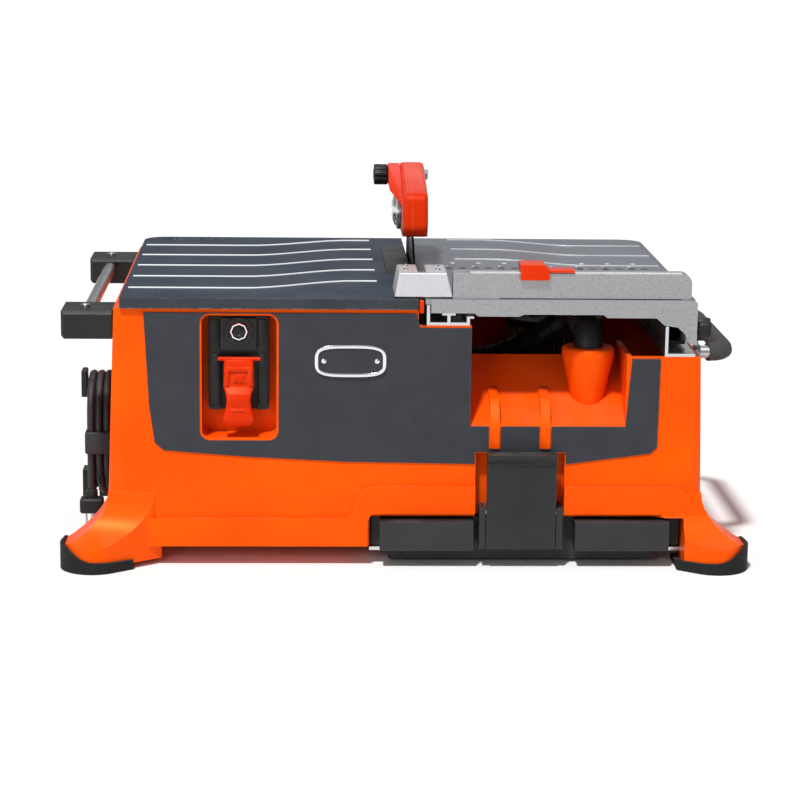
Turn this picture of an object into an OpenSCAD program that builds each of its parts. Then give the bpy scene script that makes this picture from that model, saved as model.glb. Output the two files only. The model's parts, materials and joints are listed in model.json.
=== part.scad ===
// Bench-top dry-cut tile saw: a fixed table, a sliding table with a fence,
// a 7 inch blade under a hood guard, a cyclone dust separator and a dust tray.
// Origin at the centre of the bench footprint. X to the right, Y to the back, Z up.

/* [Tables] */
// Width across both tables
table_w = 560; // [552:1:568]
// Depth of the tables, front to back
table_d = 420; // [416:1:424]
// Height of the table tops above the bench
table_z = 268; // [266:1:272]
// Thickness of the table plates
plate_t = 6; // [5:0.5:6]

/* [Blade] */
// Radius of the blade
blade_r = 89; // [84:0.5:90]
// Thickness of the blade
blade_t = 2.2; // [1.6:0.1:2.6]
// X of the blade's plane
blade_x = 13; // [12.5:0.1:13.5]
// Y of the arbor
arbor_y = 32; // [30:0.5:34]
// How far the blade stands above the tables
blade_out = 32; // [24:1:33]

/* [Base] */
// Footprint width over the rubber feet
foot_w = 680; // [676:1:690]
// Footprint depth over the rubber feet
foot_d = 492; // [486:1:500]
// Wall thickness of the moulded base
wall = 5; // [4:0.5:6]

/* [Guard] */
// Width of the guard's lower part
guard_w = 26; // [24:0.5:28]
// Gap between the table and the guard
guard_gap = 37; // [34:0.5:44]

/* [Mains lead] */
// Diameter of the lead
lead_d = 8; // [7:0.5:8]

/* [Hidden] */

// colours
orange = [1, 0.36, 0.02];
red_orange = [1, 0.2, 0.06];
slate = [0.24, 0.25, 0.29];
table_blue = [0.34, 0.38, 0.45];
alloy = [0.66, 0.67, 0.68];
bright = [0.8, 0.8, 0.82];
black = [0.09, 0.09, 0.1];
steel = [0.55, 0.56, 0.58];

// tables
tx = table_w / 2;
ty = table_d / 2;
slot_l = blade_x - 3.5;
slot_r = blade_x + 3.5;
plate_z = table_z - plate_t;
rim_z = table_z - 11;
rib_h = 1.2;
rib_w = 2.4;
gap = 0.3;
run = 0.05;

// base
face_y = -ty + 4;
back_y = ty - 4;
top_hw = tx + 6;
low_hw = tx + 15;
low_z = 20;
draft = (low_hw - top_hw) / (rim_z - low_z);
rail_seat_z = rim_z - 16;
right_top_z = rim_z - 46;
back_top_z = rim_z - 13;
split_x0 = 56;
split_x1 = 62;
scoop_x1 = 215;
scoop_lip_z = 141;
scoop_top_z = 197;
scoop_top_y = face_y + 86;
bay_x0 = -36;
bay_x1 = 275;
bay_z = 50;
bay_y1 = back_y - 8;
floor_z = bay_z + 4;
switch_x0 = -201;
switch_x1 = -128;
switch_z0 = 128;
switch_z1 = 250;
switch_depth = 36;
latch_x0 = 68;
latch_x1 = 156;
latch_top = 114;
band = 5.5;
flare_z = 74;

// dust path
cone_x = 181;
cone_y = face_y + 41;
cone_r = 26;
cone_z1 = 214;
cone_z0 = 140;
spigot_r = 12;
hose_z = 229.5;
hose_r = 14.5;
hose = [[cone_x, -90, hose_z], [cone_x, -75, hose_z], [cone_x - 1, -58, 228], [cone_x - 5, -40, 222],
    [cone_x - 13, -22, 211], [155, -2, 197], [137, 14, 182], [114, 25, 169], [88, 30, 161.5],
    [64, 30, 160], [34, 30, 160]];

// drive
arbor_z = table_z + blade_out - blade_r;
arbor_r = 8;
motor_y = 60;
motor_z = 112;
motor_r = 50;
motor_pulley_r = 26;
arbor_pulley_r = 20;
belt_x0 = -36;
belt_x1 = -24;
belt_t = 3;
fan_x0 = -236;
fan_x1 = -214;
fan_r = 54;

// guard
guard_z = table_z + guard_gap;
guard_x0 = blade_x - guard_w / 2;
guard_x1 = blade_x + guard_w / 2;
pivot_y = 66;
pivot_z = table_z + 89;
guard_ease = 4;
pivot_r = 3;
seam_x = blade_x - 3;
disc_y = 18;
disc_z = guard_z + 21;
disc_r = 21;

// fence and lock
fence_x0 = 43;
fence_x1 = 276;
fence_y0 = -ty + 2;
fence_y1 = -ty + 24;
fence_z1 = table_z + 25;
lock_y = -ty + 20;
lock_z = table_z - 32;

// handles
left_bar_x = -tx - 35;
bar_z = rim_z - 14;
bar_r = 6.5;
grip_z = right_top_z - 5;
right_handle = [[side_x(grip_z) + 1.5, -150, grip_z], [304, -150, grip_z], [311, -148, grip_z],
    [317, -143, grip_z], [321, -136, grip_z], [322, -128, grip_z], [322, -90, grip_z],
    [322, -45, grip_z], [322, 0, grip_z], [322, 38, grip_z], [321, 46, grip_z], [317, 53, grip_z],
    [311, 58, grip_z], [304, 60, grip_z], [side_x(grip_z) + 1.5, 60, grip_z]];
grip_path = [[303, -150, grip_z], [311, -148, grip_z], [317, -143, grip_z], [321, -136, grip_z],
    [322, -128, grip_z], [322, -90, grip_z], [322, -45, grip_z], [322, 0, grip_z],
    [322, 38, grip_z], [321, 46, grip_z]];

// lead on its hooks
hank_y = -60;
hank_z0 = 82;
hank_z1 = 122;
hank_ri = 28.3;
hank_ro = 46;
hank_x0 = -322;
hank_x1 = -298;
lead_x = -309.5;
lead_path = [[lead_x, hank_y + 41, 47], [lead_x, hank_y + 41, 51], [lead_x, hank_y + 41, 54.5]];
plug_x = hank_x0 + 4;
plug_y = hank_y - 41;
plug_top = 51;

// tray and latch
tray_x0 = bay_x0 + 2;
tray_x1 = bay_x1 - 2;
tray_y0 = face_y + 10;
tray_y1 = bay_y1 - 6;
tray_top = bay_z - 3;
pin_z = 56;
pin_y = face_y - 8;
pin_r = 2.5;
latch_w0 = 79;
latch_w1 = 147;

// switch
paddle_y = face_y + 12;
paddle_z = 205;
breaker_z = 232;
breaker_x = -165;

function side_x(z) = top_hw + (rim_z - z) * draft;
function smooth(t) = t <= 0 ? 0 : t >= 1 ? 1 : t * t * (3 - 2 * t);
function unit(v) = v / norm(v);

module block(x0, x1, y0, y1, z0, z1) {
    translate([x0, y0, z0]) cube([x1 - x0, y1 - y0, z1 - z0]);
}
// Extrudes an outline drawn in Y and Z from x0 to x1
module along_x(x0, x1) {
    translate([x0, 0, 0]) rotate([90, 0, 90]) linear_extrude(x1 - x0) children();
}
// Extrudes an outline drawn in X and Z from y0 to y1
module along_y(y0, y1) {
    translate([0, y1, 0]) rotate([90, 0, 0]) linear_extrude(y1 - y0) children();
}
module rod_x(x0, x1, r, y, z) {
    translate([x0, y, z]) rotate([0, 90, 0]) cylinder(r = r, h = x1 - x0, $fn = 48);
}
module rod_y(y0, y1, r, x, z) {
    translate([x, y1, z]) rotate([90, 0, 0]) cylinder(r = r, h = y1 - y0, $fn = 48);
}
// A rectangle with round corners, drawn flat
module round_rect(x0, x1, y0, y1, r) {
    hull() for (x = [x0 + r, x1 - r], y = [y0 + r, y1 - r]) translate([x, y]) circle(r = r, $fn = 32);
}
// A tube swept along a path of points
module sweep(path, r, sides) {
    n = len(path);
    function dir(i) = i == 0 ? unit(path[1] - path[0])
        : i == n - 1 ? unit(path[n - 1] - path[n - 2])
        : unit(unit(path[i + 1] - path[i]) + unit(path[i] - path[i - 1]));
    function side(d) = abs(d.z) > 0.7 ? unit(cross(d, [1, 0, 0])) : unit(cross(d, [0, 0, 1]));
    // each ring's first spoke follows from the one before it, so that the rings don't twist
    function spokes(i, s) = let (d = dir(i), t = unit(s - (s * d) * d))
        i == n - 1 ? [t] : concat([t], spokes(i + 1, t));
    first = spokes(0, side(dir(0)));
    points = [for (i = [0:n - 1], k = [0:sides - 1])
        let (u = first[i], v = cross(dir(i), u), a = 360 * k / sides)
        path[i] + r * (cos(a) * u + sin(a) * v)];
    walls = [for (i = [0:n - 2], k = [0:sides - 1]) let (m = (k + 1) % sides)
        [i * sides + k, i * sides + m, (i + 1) * sides + m, (i + 1) * sides + k]];
    ends = [[for (k = [sides - 1:-1:0]) k], [for (k = [0:sides - 1]) (n - 1) * sides + k]];
    tris = concat([for (w = walls) [w[0], w[1], w[2]]], [for (w = walls) [w[0], w[2], w[3]]], ends);
    polyhedron(points, [for (f = tris) [for (j = [len(f) - 1:-1:0]) f[j]]]);
}

// ---- base ----
// Plan of one corner's flare: a round corner that runs out along both walls
module foot_plan(sx, sy, grow) {
    scale([sx, sy]) hull() {
        translate([foot_w / 2 - 33, -foot_d / 2 + 33]) circle(r = 30 + grow, $fn = 48);
        translate([286, -140]) circle(r = 4 + grow, $fn = 24);
        translate([245, -200]) circle(r = 4 + grow, $fn = 24);
    }
}
// A hollow curve that leaves the wall at [a0, z0] and runs out to [a1, z1]
function run_out(a0, z0, a1, z1) = [for (t = [0:8:64])
    [a0 + (a1 - a0) * (1 - cos(t)) / (1 - cos(64)), z0 - (z0 - z1) * sin(t) / sin(64)]];
// One corner flare, sloping out from the body to the foot
module flare(sx, sy) {
    intersection() {
        translate([0, 0, 6]) linear_extrude(flare_z - 6) foot_plan(sx, sy, 0);
        along_y(-foot_d, foot_d) scale([sx, 1]) polygon(concat([[foot_w / 2 - 3, 6], [230, 6],
            [230, flare_z]], run_out(side_x(flare_z), flare_z, foot_w / 2 - 3, 25)));
        along_x(-foot_w, foot_w) scale([sy, 1]) polygon(concat([[-foot_d / 2 + 3, 6], [-130, 6],
            [-130, flare_z]], run_out(face_y - 0.5, flare_z, -foot_d / 2 + 3, 25)));
    }
}
module body_outline() {
    polygon([[-low_hw, low_z], [low_hw, low_z], [top_hw, rim_z], [-top_hw, rim_z]]);
}
// The raised band that steps up over the tray's bay
module band_outline() {
    polygon([[-270, low_z], [bay_x0 - 2, low_z], [bay_x0 - 2, 46], [bay_x0 + 2, bay_z + 3],
        [bay_x1 - 6, bay_z + 3], [bay_x1 + 2, bay_z - 5], [bay_x1 + 2, 8], [292, 8], [288, 62],
        [280, 74], [268, 80], [-30, 81], [-42, 78], [-50, 70], [-52, 56], [-58, 48], [-258, 48],
        [-266, 44], [-270, 34]]);
}
module base_shell() color(orange) difference() {
    union() {
        difference() {
            intersection() {
                along_y(face_y, back_y) body_outline();
                linear_extrude(rim_z) round_rect(-low_hw, low_hw, face_y, back_y, 16);
            }
            // left and right chambers
            along_y(face_y + wall, back_y - wall) polygon([[-low_hw + wall + 1, low_z + wall],
                [-top_hw + wall, rim_z + 1], [split_x0, rim_z + 1], [split_x0, floor_z],
                [bay_x0 - wall, floor_z], [bay_x0 - wall, low_z + wall]]);
            along_y(face_y + wall, back_y - wall) polygon([[split_x1, floor_z],
                [side_x(floor_z) - wall, floor_z], [top_hw - wall, rim_z + 1], [split_x1, rim_z + 1]]);
            // scoop mouth, low right wall and rail seats
            block(split_x1, scoop_x1, -ty - 9, face_y + wall + 1, scoop_lip_z, rim_z + 1);
            block(split_x1, tx + 40, -ty - 9, ty - 60, right_top_z, rim_z + 1);
            block(252, tx + 40, ty - 61, ty + 9, right_top_z, rim_z + 1);
            block(split_x1, 253, ty - 61, ty + 9, back_top_z, rim_z + 1);
            block(10, split_x1, -ty - 9, ty + 9, rail_seat_z, rim_z + 1);
        }
        // sloped scoop face with its right cheek and fins
        along_x(split_x1 - 1, scoop_x1 + 1) polygon([[face_y, scoop_lip_z], [scoop_top_y, scoop_top_z],
            [scoop_top_y, scoop_top_z - 6], [face_y + 4, scoop_lip_z - 8], [face_y, scoop_lip_z - 8]]);
        block(scoop_x1, scoop_x1 + wall, face_y + 2, scoop_top_y + 3, floor_z - 1, right_top_z);
        for (x = [82, 132]) along_x(x, x + 9) polygon([[face_y - 3, 119], [face_y - 3, 140],
            [face_y + 4, 156], [face_y + 16, 166], [face_y + 46, 172], [face_y + 46, 168],
            [face_y + 2, scoop_lip_z - 4], [face_y + 2, 119]]);
        // band round the foot of the front face
        along_y(face_y - band, face_y + 1) band_outline();
        // walls of the switch recess and of the latch recess
        block(switch_x0 - 4, switch_x1 + 4, face_y + 1, face_y + switch_depth + 4, switch_z0 - 4, rim_z - 1);
        block(latch_x0 - 4, latch_x1 + 4, face_y + 1, face_y + 16, floor_z - 1, latch_top + 4);
        for (sx = [-1, 1], sy = [-1, 1]) flare(sx, sy);
    }
    // bay for the dust tray
    block(bay_x0, bay_x1, -foot_d / 2 - 2, bay_y1, -1, bay_z);
    // switch recess and latch recess
    along_y(face_y - 9, face_y + switch_depth) round_rect(switch_x0, switch_x1, switch_z0, switch_z1, 8);
    block(latch_x0, latch_x1, face_y - 9, face_y + 12, bay_z - 2, latch_top);
    // cyclone: through the slope and down into the tray's bay
    translate([cone_x, cone_y, cone_z0]) cylinder(r1 = spigot_r + gap, r2 = cone_r + gap,
        h = cone_z1 - cone_z0 - 8, $fn = 64);
    translate([cone_x, cone_y, bay_z - 2]) cylinder(r = spigot_r + gap, h = cone_z0 - bay_z + 3, $fn = 48);
    // hose through the wall between the chambers
    rod_x(split_x0 - 1, split_x1 + 1, 17, 30, 160);
}
module front_panel() color(slate) along_y(face_y - 1.2, face_y) difference() {
    polygon([[-257, rim_z - 4], [8, rim_z - 4], [12, rail_seat_z - 2], [split_x1, rail_seat_z - 2],
        [split_x1, scoop_lip_z], [80.5, scoop_lip_z], [80.5, 119], [92.5, 119], [92.5, scoop_lip_z],
        [130.5, scoop_lip_z], [130.5, 119], [142.5, 119], [142.5, scoop_lip_z], [scoop_x1, scoop_lip_z],
        [scoop_x1 + 5, right_top_z - 2], [248, right_top_z - 2], [247, 120], [240, 114],
        [latch_x1 + 1, 103], [latch_x1 + 1, 115], [latch_x0 - 1, 115], [latch_x0 - 1, 103],
        [-60, 105], [-160, 110], [-238, 116], [-247, 124], [-252, 160]]);
    round_rect(switch_x0 - 2, switch_x1 + 2, switch_z0 - 2, switch_z1 + 2, 10);
}
module badge_plate() color(slate) along_y(face_y - 3.4, face_y - 1.2) hull() {
    translate([-56, 206]) scale([35, 16]) circle(r = 1, $fn = 40);
    translate([-90, 198]) square([68, 16]);
}
// Rubber shoe wrapped round the outside of one flare
module foot(sx, sy) color(black) difference() {
    intersection() {
        linear_extrude(30) foot_plan(sx, sy, 3);
        along_y(-foot_d, foot_d) scale([sx, 1]) polygon([[268, 0], [foot_w / 2, 0],
            [foot_w / 2, 26], [foot_w / 2 - 4, 28], [foot_w / 2 - 22, 15], [310, 12], [268, 10]]);
        along_x(-foot_w, foot_w) scale([sy, 1]) polygon([[-180, 0], [-foot_d / 2, 0],
            [-foot_d / 2, 22], [-foot_d / 2 + 4, 28], [-180, 28]]);
    }
    flare(sx, sy);
}
module foot_front_left() foot(-1, 1);
module foot_front_right() foot(1, 1);
module foot_rear_left() foot(-1, -1);
module foot_rear_right() foot(1, -1);

// ---- fixed table ----
// A raised rib that bends once across the table
module rib(x0, x1, bend_x, bend_w, y0, rise) {
    n = 16;
    function y(x) = y0 + rise * smooth((x - bend_x) / bend_w);
    xs = [for (i = [0:n]) x0 + (x1 - x0) * i / n];
    translate([0, 0, table_z - 1]) linear_extrude(1 + rib_h) polygon(concat(
        [for (x = xs) [x, y(x) - rib_w / 2]], [for (i = [n:-1:0]) [xs[i], y(xs[i]) + rib_w / 2]]));
}
module left_outline(inset) {
    hull() {
        translate([-tx + inset, -ty + inset]) square([20, 20]);
        translate([-tx + 24, ty - 24]) circle(r = 24 - inset, $fn = 48);
        translate([slot_l - 20 - inset, -ty + inset]) square([20, 20]);
        translate([slot_l - 20 - inset, ty - 20 - inset]) square([20, 20]);
    }
}
module left_table() color(table_blue) difference() {
    union() {
        translate([0, 0, rim_z]) linear_extrude(table_z - rim_z) left_outline(0);
        for (i = [0:4]) rib(-tx + 5, -28, -160, 110, -153 + 73.3 * i, i == 4 ? 44 : 48);
    }
    translate([0, 0, rim_z - 1]) linear_extrude(table_z - rim_z + 1 - plate_t) left_outline(6);
    translate([0, 0, rim_z - 1]) linear_extrude(20) insert_outline(0.2);
    translate([0, 0, table_z - 1.5]) linear_extrude(5) hull() {
        for (x = [-249, -189]) translate([x, 190]) circle(r = 9, $fn = 32);
    }
}
module insert_outline(grow) {
    hull() for (y = [-50, 130]) {
        translate([-6, y]) circle(r = 10 + grow, $fn = 32);
        translate([slot_l - 3, y - 10 - grow]) square([4 + grow, 20 + 2 * grow]);
    }
}
module throat_insert() color(black) intersection() {
    translate([0, 0, plate_z]) linear_extrude(plate_t) insert_outline(0);
    block(-20, slot_l, -70, 150, plate_z, table_z);
}

// ---- slides ----
module rail_left() color(bright) along_y(face_y + 1, back_y - 1) translate([18, rail_seat_z]) union() {
    square([42, 3]);
    square([3, 20]);
    translate([39, 0]) square([3, 9]);
    translate([39, 7]) square([7, 2]);
    translate([20, 0]) square([3, 12]);
    translate([15, 10]) square([13, 2]);
}
module rail_right() color(bright) along_y(face_y + 1, back_y - 1) translate([252, right_top_z]) union() {
    square([3, 30]);
    square([30, 3]);
}
module sliding_table() color(alloy) difference() {
    union() {
        translate([0, 0, plate_z]) linear_extrude(plate_t) hull() {
            translate([slot_r, -ty + 3]) square([20, 20]);
            translate([slot_r, ty - 20]) square([20, 20]);
            translate([tx - 20, -ty + 3]) square([20, 20]);
            translate([tx - 24, ty - 24]) circle(r = 24, $fn = 48);
        }
        // front apron with the leg that comes down at its right
        along_y(-ty, -ty + 5) polygon([[22, table_z], [22, 254], [64, 254], [68, 251], [108, 251],
            [112, 253], [190, 253], [194, 250], [242, 250], [250, 243], [263, 241], [269, 236],
            [273, 230], [276, 224], [tx + 2, 224], [tx + 2, table_z - 3], [tx - 1, table_z]]);
        block(tx - 8, tx + 2, -ty + 4, -ty + 32, lock_z - 10, plate_z + 1);
        for (x = [100, 160, 220]) block(x, x + 3, -ty + 4, ty - 10, 252, plate_z + 1);
        block(tx - 3, tx, -ty + 30, ty - 30, 252, plate_z + 1);
        for (i = [0:2]) rib(60, 274, 100, 100, 48 + 73 * i, -42);
    }
    for (i = [0:7]) translate([51 + 27.5 * i, -20, 0]) {
        translate([-3, 0, 200]) cube([6, 16, 100]);
    }
    rod_x(tx - 20, tx + 4, pivot_r + run, lock_y, lock_z);
}
module slide_bracket() color(black) along_y(-170, 172) translate([258, 217]) union() {
    square([19, 4]);
    translate([14, 0]) square([5, 45]);
    translate([0, 38]) square([19, 7]);
}
module glide_blocks() color(bright) for (y = [-45, 8]) {
    block(31, 48, y, y + 30, rail_seat_z + 12 + gap, plate_z);
    block(259, 276, y, y + 30, right_top_z + 3 + gap, 217);
}
module table_lock_knob() color(black) {
    along_x(tx + 4, tx + 18) translate([lock_y, lock_z]) union() {
        circle(r = 9.5, $fn = 40);
        for (a = [0:60:300]) rotate(a) translate([8.5, 0]) circle(r = 3, $fn = 24);
    }
    rod_x(tx - 12, tx + 6, pivot_r, lock_y, lock_z);
}
module fence() color(alloy) difference() {
    along_y(fence_y0, fence_y1) hull() {
        translate([fence_x0, table_z]) square([10, fence_z1 - table_z]);
        translate([fence_x1 - 10, table_z]) square([10, 5]);
        translate([fence_x1 - 9, fence_z1 - 9]) circle(r = 9, $fn = 40);
    }
    block(55, fence_x1 + 5, fence_y0 + 8, fence_y0 + 14, fence_z1 - 4, fence_z1 + 1);
}
module fence_end_block() color(bright) difference() {
    along_y(-ty + 1, -ty + 58) polygon([[-14, table_z + 1.3], [fence_x0 - 0.1, table_z + 1.3],
        [37, fence_z1], [-10, fence_z1]]);
    along_y(-ty + 4.5, -ty + 59) polygon([[-10.5, table_z], [39, table_z], [34, fence_z1 - 3.5],
        [-7, fence_z1 - 3.5]]);
    block(blade_x - 4, blade_x + 4, -ty + 8, -ty + 59, fence_z1 - 5, fence_z1 + 1);
}
module fence_scale() color("white") block(60, 266, fence_y0 + 2, fence_y0 + 7, fence_z1, fence_z1 + 0.8);
module fence_stop() color(red_orange) {
    along_y(fence_y0 - 5, fence_y1 + 2) polygon([[108, fence_z1 + 1.2], [136, fence_z1 + 1.2],
        [136, fence_z1 + 4], [131, fence_z1 + 9.5], [108, fence_z1 + 9.5]]);
    block(108, 136, fence_y0 - 5, fence_y0 - 0.4, fence_z1 - 6, fence_z1 + 2);
    block(135, 161, fence_y0 - 2, fence_y1 - 3, fence_z1 + 1.2, fence_z1 + 3.5);
    block(109, 135, fence_y0 + 8.4, fence_y0 + 13.6, fence_z1 - 3.6, fence_z1 + 2);
}

// ---- handles ----
module handle_bracket(y0) color(black) difference() {
    hull() {
        block(-foot_w / 2 + 3, -side_x(226) - 0.3, y0 + 3, y0 + 57, 229, rim_z - 4);
        block(-foot_w / 2 + 6, -side_x(226) - 0.3, y0, y0 + 60, 226, rim_z - 7);
    }
    rod_y(y0 < 0 ? y0 + 40 : y0 - 1, y0 < 0 ? y0 + 61 : y0 + 20, bar_r + run, left_bar_x, bar_z);
    translate([left_bar_x, y0 + 30, rim_z - 12]) cylinder(r = 2.5, h = 20, $fn = 24);
}
module handle_bracket_front() handle_bracket(-205);
module handle_bracket_rear() handle_bracket(135);
module handle_bar() color(steel) rod_y(-164, 154, bar_r, left_bar_x, bar_z);
module handle_screws() color(steel) for (y = [-175, 165]) translate([left_bar_x, y, rim_z - 12]) {
    cylinder(r = 2.45, h = 9, $fn = 24);
    translate([0, 0, 8]) cylinder(r = 4.5, h = 3, $fn = 32);
}
module right_handle_tube() color(steel) sweep(right_handle, 6.5, 16);
module right_handle_grip() color(black) difference() {
    sweep(grip_path, 9.5, 16);
    sweep(concat([right_handle[0]], [for (i = [1:10]) right_handle[i]], [[317, 53, grip_z]]), 6.5, 16);
}

// ---- mains lead ----
module cord_hook(z0, z1, za, up) {
    arm = za + (up ? -4 : 4);
    tip = up ? za + 24 : za - 24;
    along_y(hank_y - 10, hank_y + 10) union() {
        polygon([[-side_x(z0), z0], [-296.5, z0], [-296.5, z1], [-side_x(z1), z1]]);
        translate([-330, min(za, arm)]) square([34, 8]);
        translate([-330, min(tip, arm)]) square([6, abs(tip - arm)]);
    }
}
module cord_hooks() color(black) {
    cord_hook(134, 170, 144, true);
    cord_hook(40, 74, 56, false);
}
module cord_gland() color(black) {
    translate([lead_x, hank_y + 41, 30]) difference() {
        cylinder(r = 8, h = 17, $fn = 32);
        translate([0, 0, 8]) cylinder(r = lead_d / 2 + run, h = 12, $fn = 32);
    }
    along_y(hank_y + 31, hank_y + 51) polygon([[-side_x(24), 24], [-316, 24], [-316, 32], [-302, 38],
        [-side_x(38), 38]]);
}
module cord_lead() color(black) sweep(lead_path, lead_d / 2, 12);
module hank_outline(r) {
    hull() for (z = [hank_z0, hank_z1]) translate([hank_y, z]) circle(r = r, $fn = 64);
}
module cord_hank() color(black) along_x(hank_x0, hank_x1) difference() {
    hank_outline(hank_ro);
    hank_outline(hank_ri);
}
module cord_strap() color(slate) difference() {
    block(hank_x0 - 2, hank_x1 + 1.5, hank_y - hank_ro - 2.2, hank_y - hank_ri + 2, 88, 112);
    block(hank_x0 - 0.1, hank_x1 + 0.1, hank_y - hank_ro - 0.1, hank_y - hank_ri + 0.1, 87, 113);
}
module plug() color(black) {
    translate([plug_x, plug_y, plug_top]) mirror([0, 0, 1]) {
        cylinder(r = 6.5, h = 10, $fn = 32);
        translate([-12, -9, 9]) cube([24, 18, 16]);
        translate([0, 0, 24]) for (x = [-6.5, 5]) translate([x, -3, 0]) cube([1.5, 6, 15]);
    }
}

// ---- dust path ----
module cyclone_cone() color(orange) translate([cone_x, cone_y, 0]) rotate_extrude($fn = 64) polygon([
    [spigot_r - 2, floor_z - 3], [spigot_r, floor_z - 3], [spigot_r, cone_z0], [cone_r, cone_z1 - 8],
    [cone_r, cone_z1 - 2], [cone_r - 2, cone_z1], [hose_r + run, cone_z1], [hose_r + run, cone_z1 - 2.5],
    [cone_r - 2.5, cone_z1 - 5], [cone_r - 2.5, cone_z1 - 9], [spigot_r - 2, cone_z0]]);
module dust_hose() color(black) {
    translate([cone_x, cone_y, cone_z1 - 4]) cylinder(r = hose_r, h = hose_z + hose_r - cone_z1 + 4, $fn = 48);
    rod_y(cone_y, -75, hose_r, cone_x, hose_z);
    sweep(hose, hose_r - 1, 16);
}
module filter_cartridge() color(bright) translate([178, 128, floor_z]) {
    difference() {
        cylinder(r = 54, h = 140, $fn = 64);
        translate([0, 0, 6]) cylinder(r = 28, h = 128, $fn = 48);
    }
}

// ---- drive ----
module motor_housing() color(steel) difference() {
    union() {
        rod_x(-196, -44, motor_r, motor_y, motor_z);
        block(-180, -60, motor_y - 32, motor_y + 32, low_z + wall, motor_z - 30);
    }
    rod_x(-190, -50, 30, motor_y, motor_z);
    rod_x(-200, -40, 7 + run, motor_y, motor_z);
}
module motor_shaft() color(bright) {
    rod_x(fan_x0 + 2, belt_x1 + 3, 7, motor_y, motor_z);
    rod_x(-185, -60, 27, motor_y, motor_z);
}
module pulley(y, z, r, bore) difference() {
    union() {
        rod_x(belt_x0 + 0.5, belt_x1 - 0.5, r, y, z);
        rod_x(belt_x0 - 2, belt_x0 + 0.2, r + 3.5, y, z);
        rod_x(belt_x1 - 0.2, belt_x1 + 2, r + 3.5, y, z);
        rod_x(belt_x0, belt_x1, r - 1, y, z);
    }
    rod_x(belt_x0 - 5, belt_x1 + 5, bore, y, z);
}
module motor_pulley() color(steel) pulley(motor_y, motor_z, motor_pulley_r, 7 + run);
module arbor_pulley() color(steel) pulley(arbor_y, arbor_z, arbor_pulley_r, arbor_r + run);
module belt_outline(extra) {
    hull() {
        translate([motor_y, motor_z]) circle(r = motor_pulley_r + extra, $fn = 64);
        translate([arbor_y, arbor_z]) circle(r = arbor_pulley_r + extra, $fn = 64);
    }
}
module drive_belt() color(black) along_x(belt_x0 + 1, belt_x1 - 1) difference() {
    belt_outline(gap + belt_t);
    belt_outline(gap);
}
module fan_impeller() color(steel) difference() {
    union() {
        rod_x(fan_x0 + 4, fan_x0 + 7, fan_r, motor_y, motor_z);
        rod_x(fan_x0 + 4, fan_x1 - 2, 12, motor_y, motor_z);
        translate([fan_x0 + 6, motor_y, motor_z]) rotate([0, 90, 0]) for (a = [0:30:330])
            rotate(a) translate([10, -1, 0]) cube([fan_r - 12, 2, 13]);
    }
    rod_x(fan_x0 - 5, fan_x1 + 5, 7 + run, motor_y, motor_z);
}
module fan_housing() color(black) difference() {
    rod_x(fan_x0 - 4, fan_x1 + 4, fan_r + 5, motor_y, motor_z);
    rod_x(fan_x0, fan_x1, fan_r + 2, motor_y, motor_z);
    rod_x(fan_x1 - 5, fan_x1 + 9, 22, motor_y, motor_z);
}
module arbor_housing() color(alloy) difference() {
    union() {
        rod_x(-19, 1, 22, arbor_y, arbor_z);
        block(-19, 1, arbor_y - 22, arbor_y + 22, floor_z, arbor_z);
        block(-19, 1, arbor_y + 20, 150, arbor_z - 60, arbor_z - 30);
        rod_x(0, blade_x - 1, 8, 140, arbor_z - 45);
    }
    rod_x(-18, 0, 16 + run, arbor_y, arbor_z);
    rod_x(-25, 5, 12, arbor_y, arbor_z);
}
module arbor_bearings() color(bright) for (x = [-17.5, -7.5]) difference() {
    rod_x(x, x + 7, 16, arbor_y, arbor_z);
    rod_x(x - 1, x + 9, arbor_r + run, arbor_y, arbor_z);
}
module arbor_shaft() color(bright) rod_x(belt_x0 - 3, 30, arbor_r, arbor_y, arbor_z);
module blade() color(steel) difference() {
    rod_x(blade_x - blade_t / 2, blade_x + blade_t / 2, blade_r, arbor_y, arbor_z);
    rod_x(0, 30, arbor_r + run, arbor_y, arbor_z);
}
module blade_flanges() color(steel) for (s = [[3.5, blade_x - blade_t / 2], [blade_x + blade_t / 2, 18]])
    difference() {
        rod_x(s[0], s[1], 19, arbor_y, arbor_z);
        rod_x(0, 30, arbor_r + run, arbor_y, arbor_z);
    }
module arbor_nut() color(steel) difference() {
    translate([18, arbor_y, arbor_z]) rotate([0, 90, 0]) cylinder(r = 13, h = 8, $fn = 6);
    rod_x(0, 40, arbor_r + run, arbor_y, arbor_z);
}
module blade_shroud() color(black) difference() {
    block(1.2, 34, -66, 152, 106, rail_seat_z - 3);
    block(3.2, 32, -64, 150, 108, rail_seat_z + 1);
    rod_x(-5, 4, 20, arbor_y, arbor_z);
    rod_x(31, 40, hose_r, 30, 160);
    rod_x(-5, 4, 8 + gap, 140, arbor_z - 45);
}
module riving_knife() color(steel) difference() {
    along_x(blade_x - 1, blade_x + 1) difference() {
        union() {
            hull() {
                translate([132, arbor_z - 60]) square([16, 10]);
                translate([136, arbor_z + 20]) circle(r = 14, $fn = 32);
            }
            hull() {
                translate([136, arbor_z + 20]) circle(r = 14, $fn = 32);
                translate([124, table_z + 36]) circle(r = 14, $fn = 32);
            }
            hull() {
                translate([124, table_z + 36]) circle(r = 14, $fn = 32);
                translate([pivot_y, pivot_z]) circle(r = 9, $fn = 32);
            }
        }
        translate([arbor_y, arbor_z]) circle(r = blade_r + 3, $fn = 96);
    }
    rod_x(0, 40, pivot_r + run, pivot_y, pivot_z);
}

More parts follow.
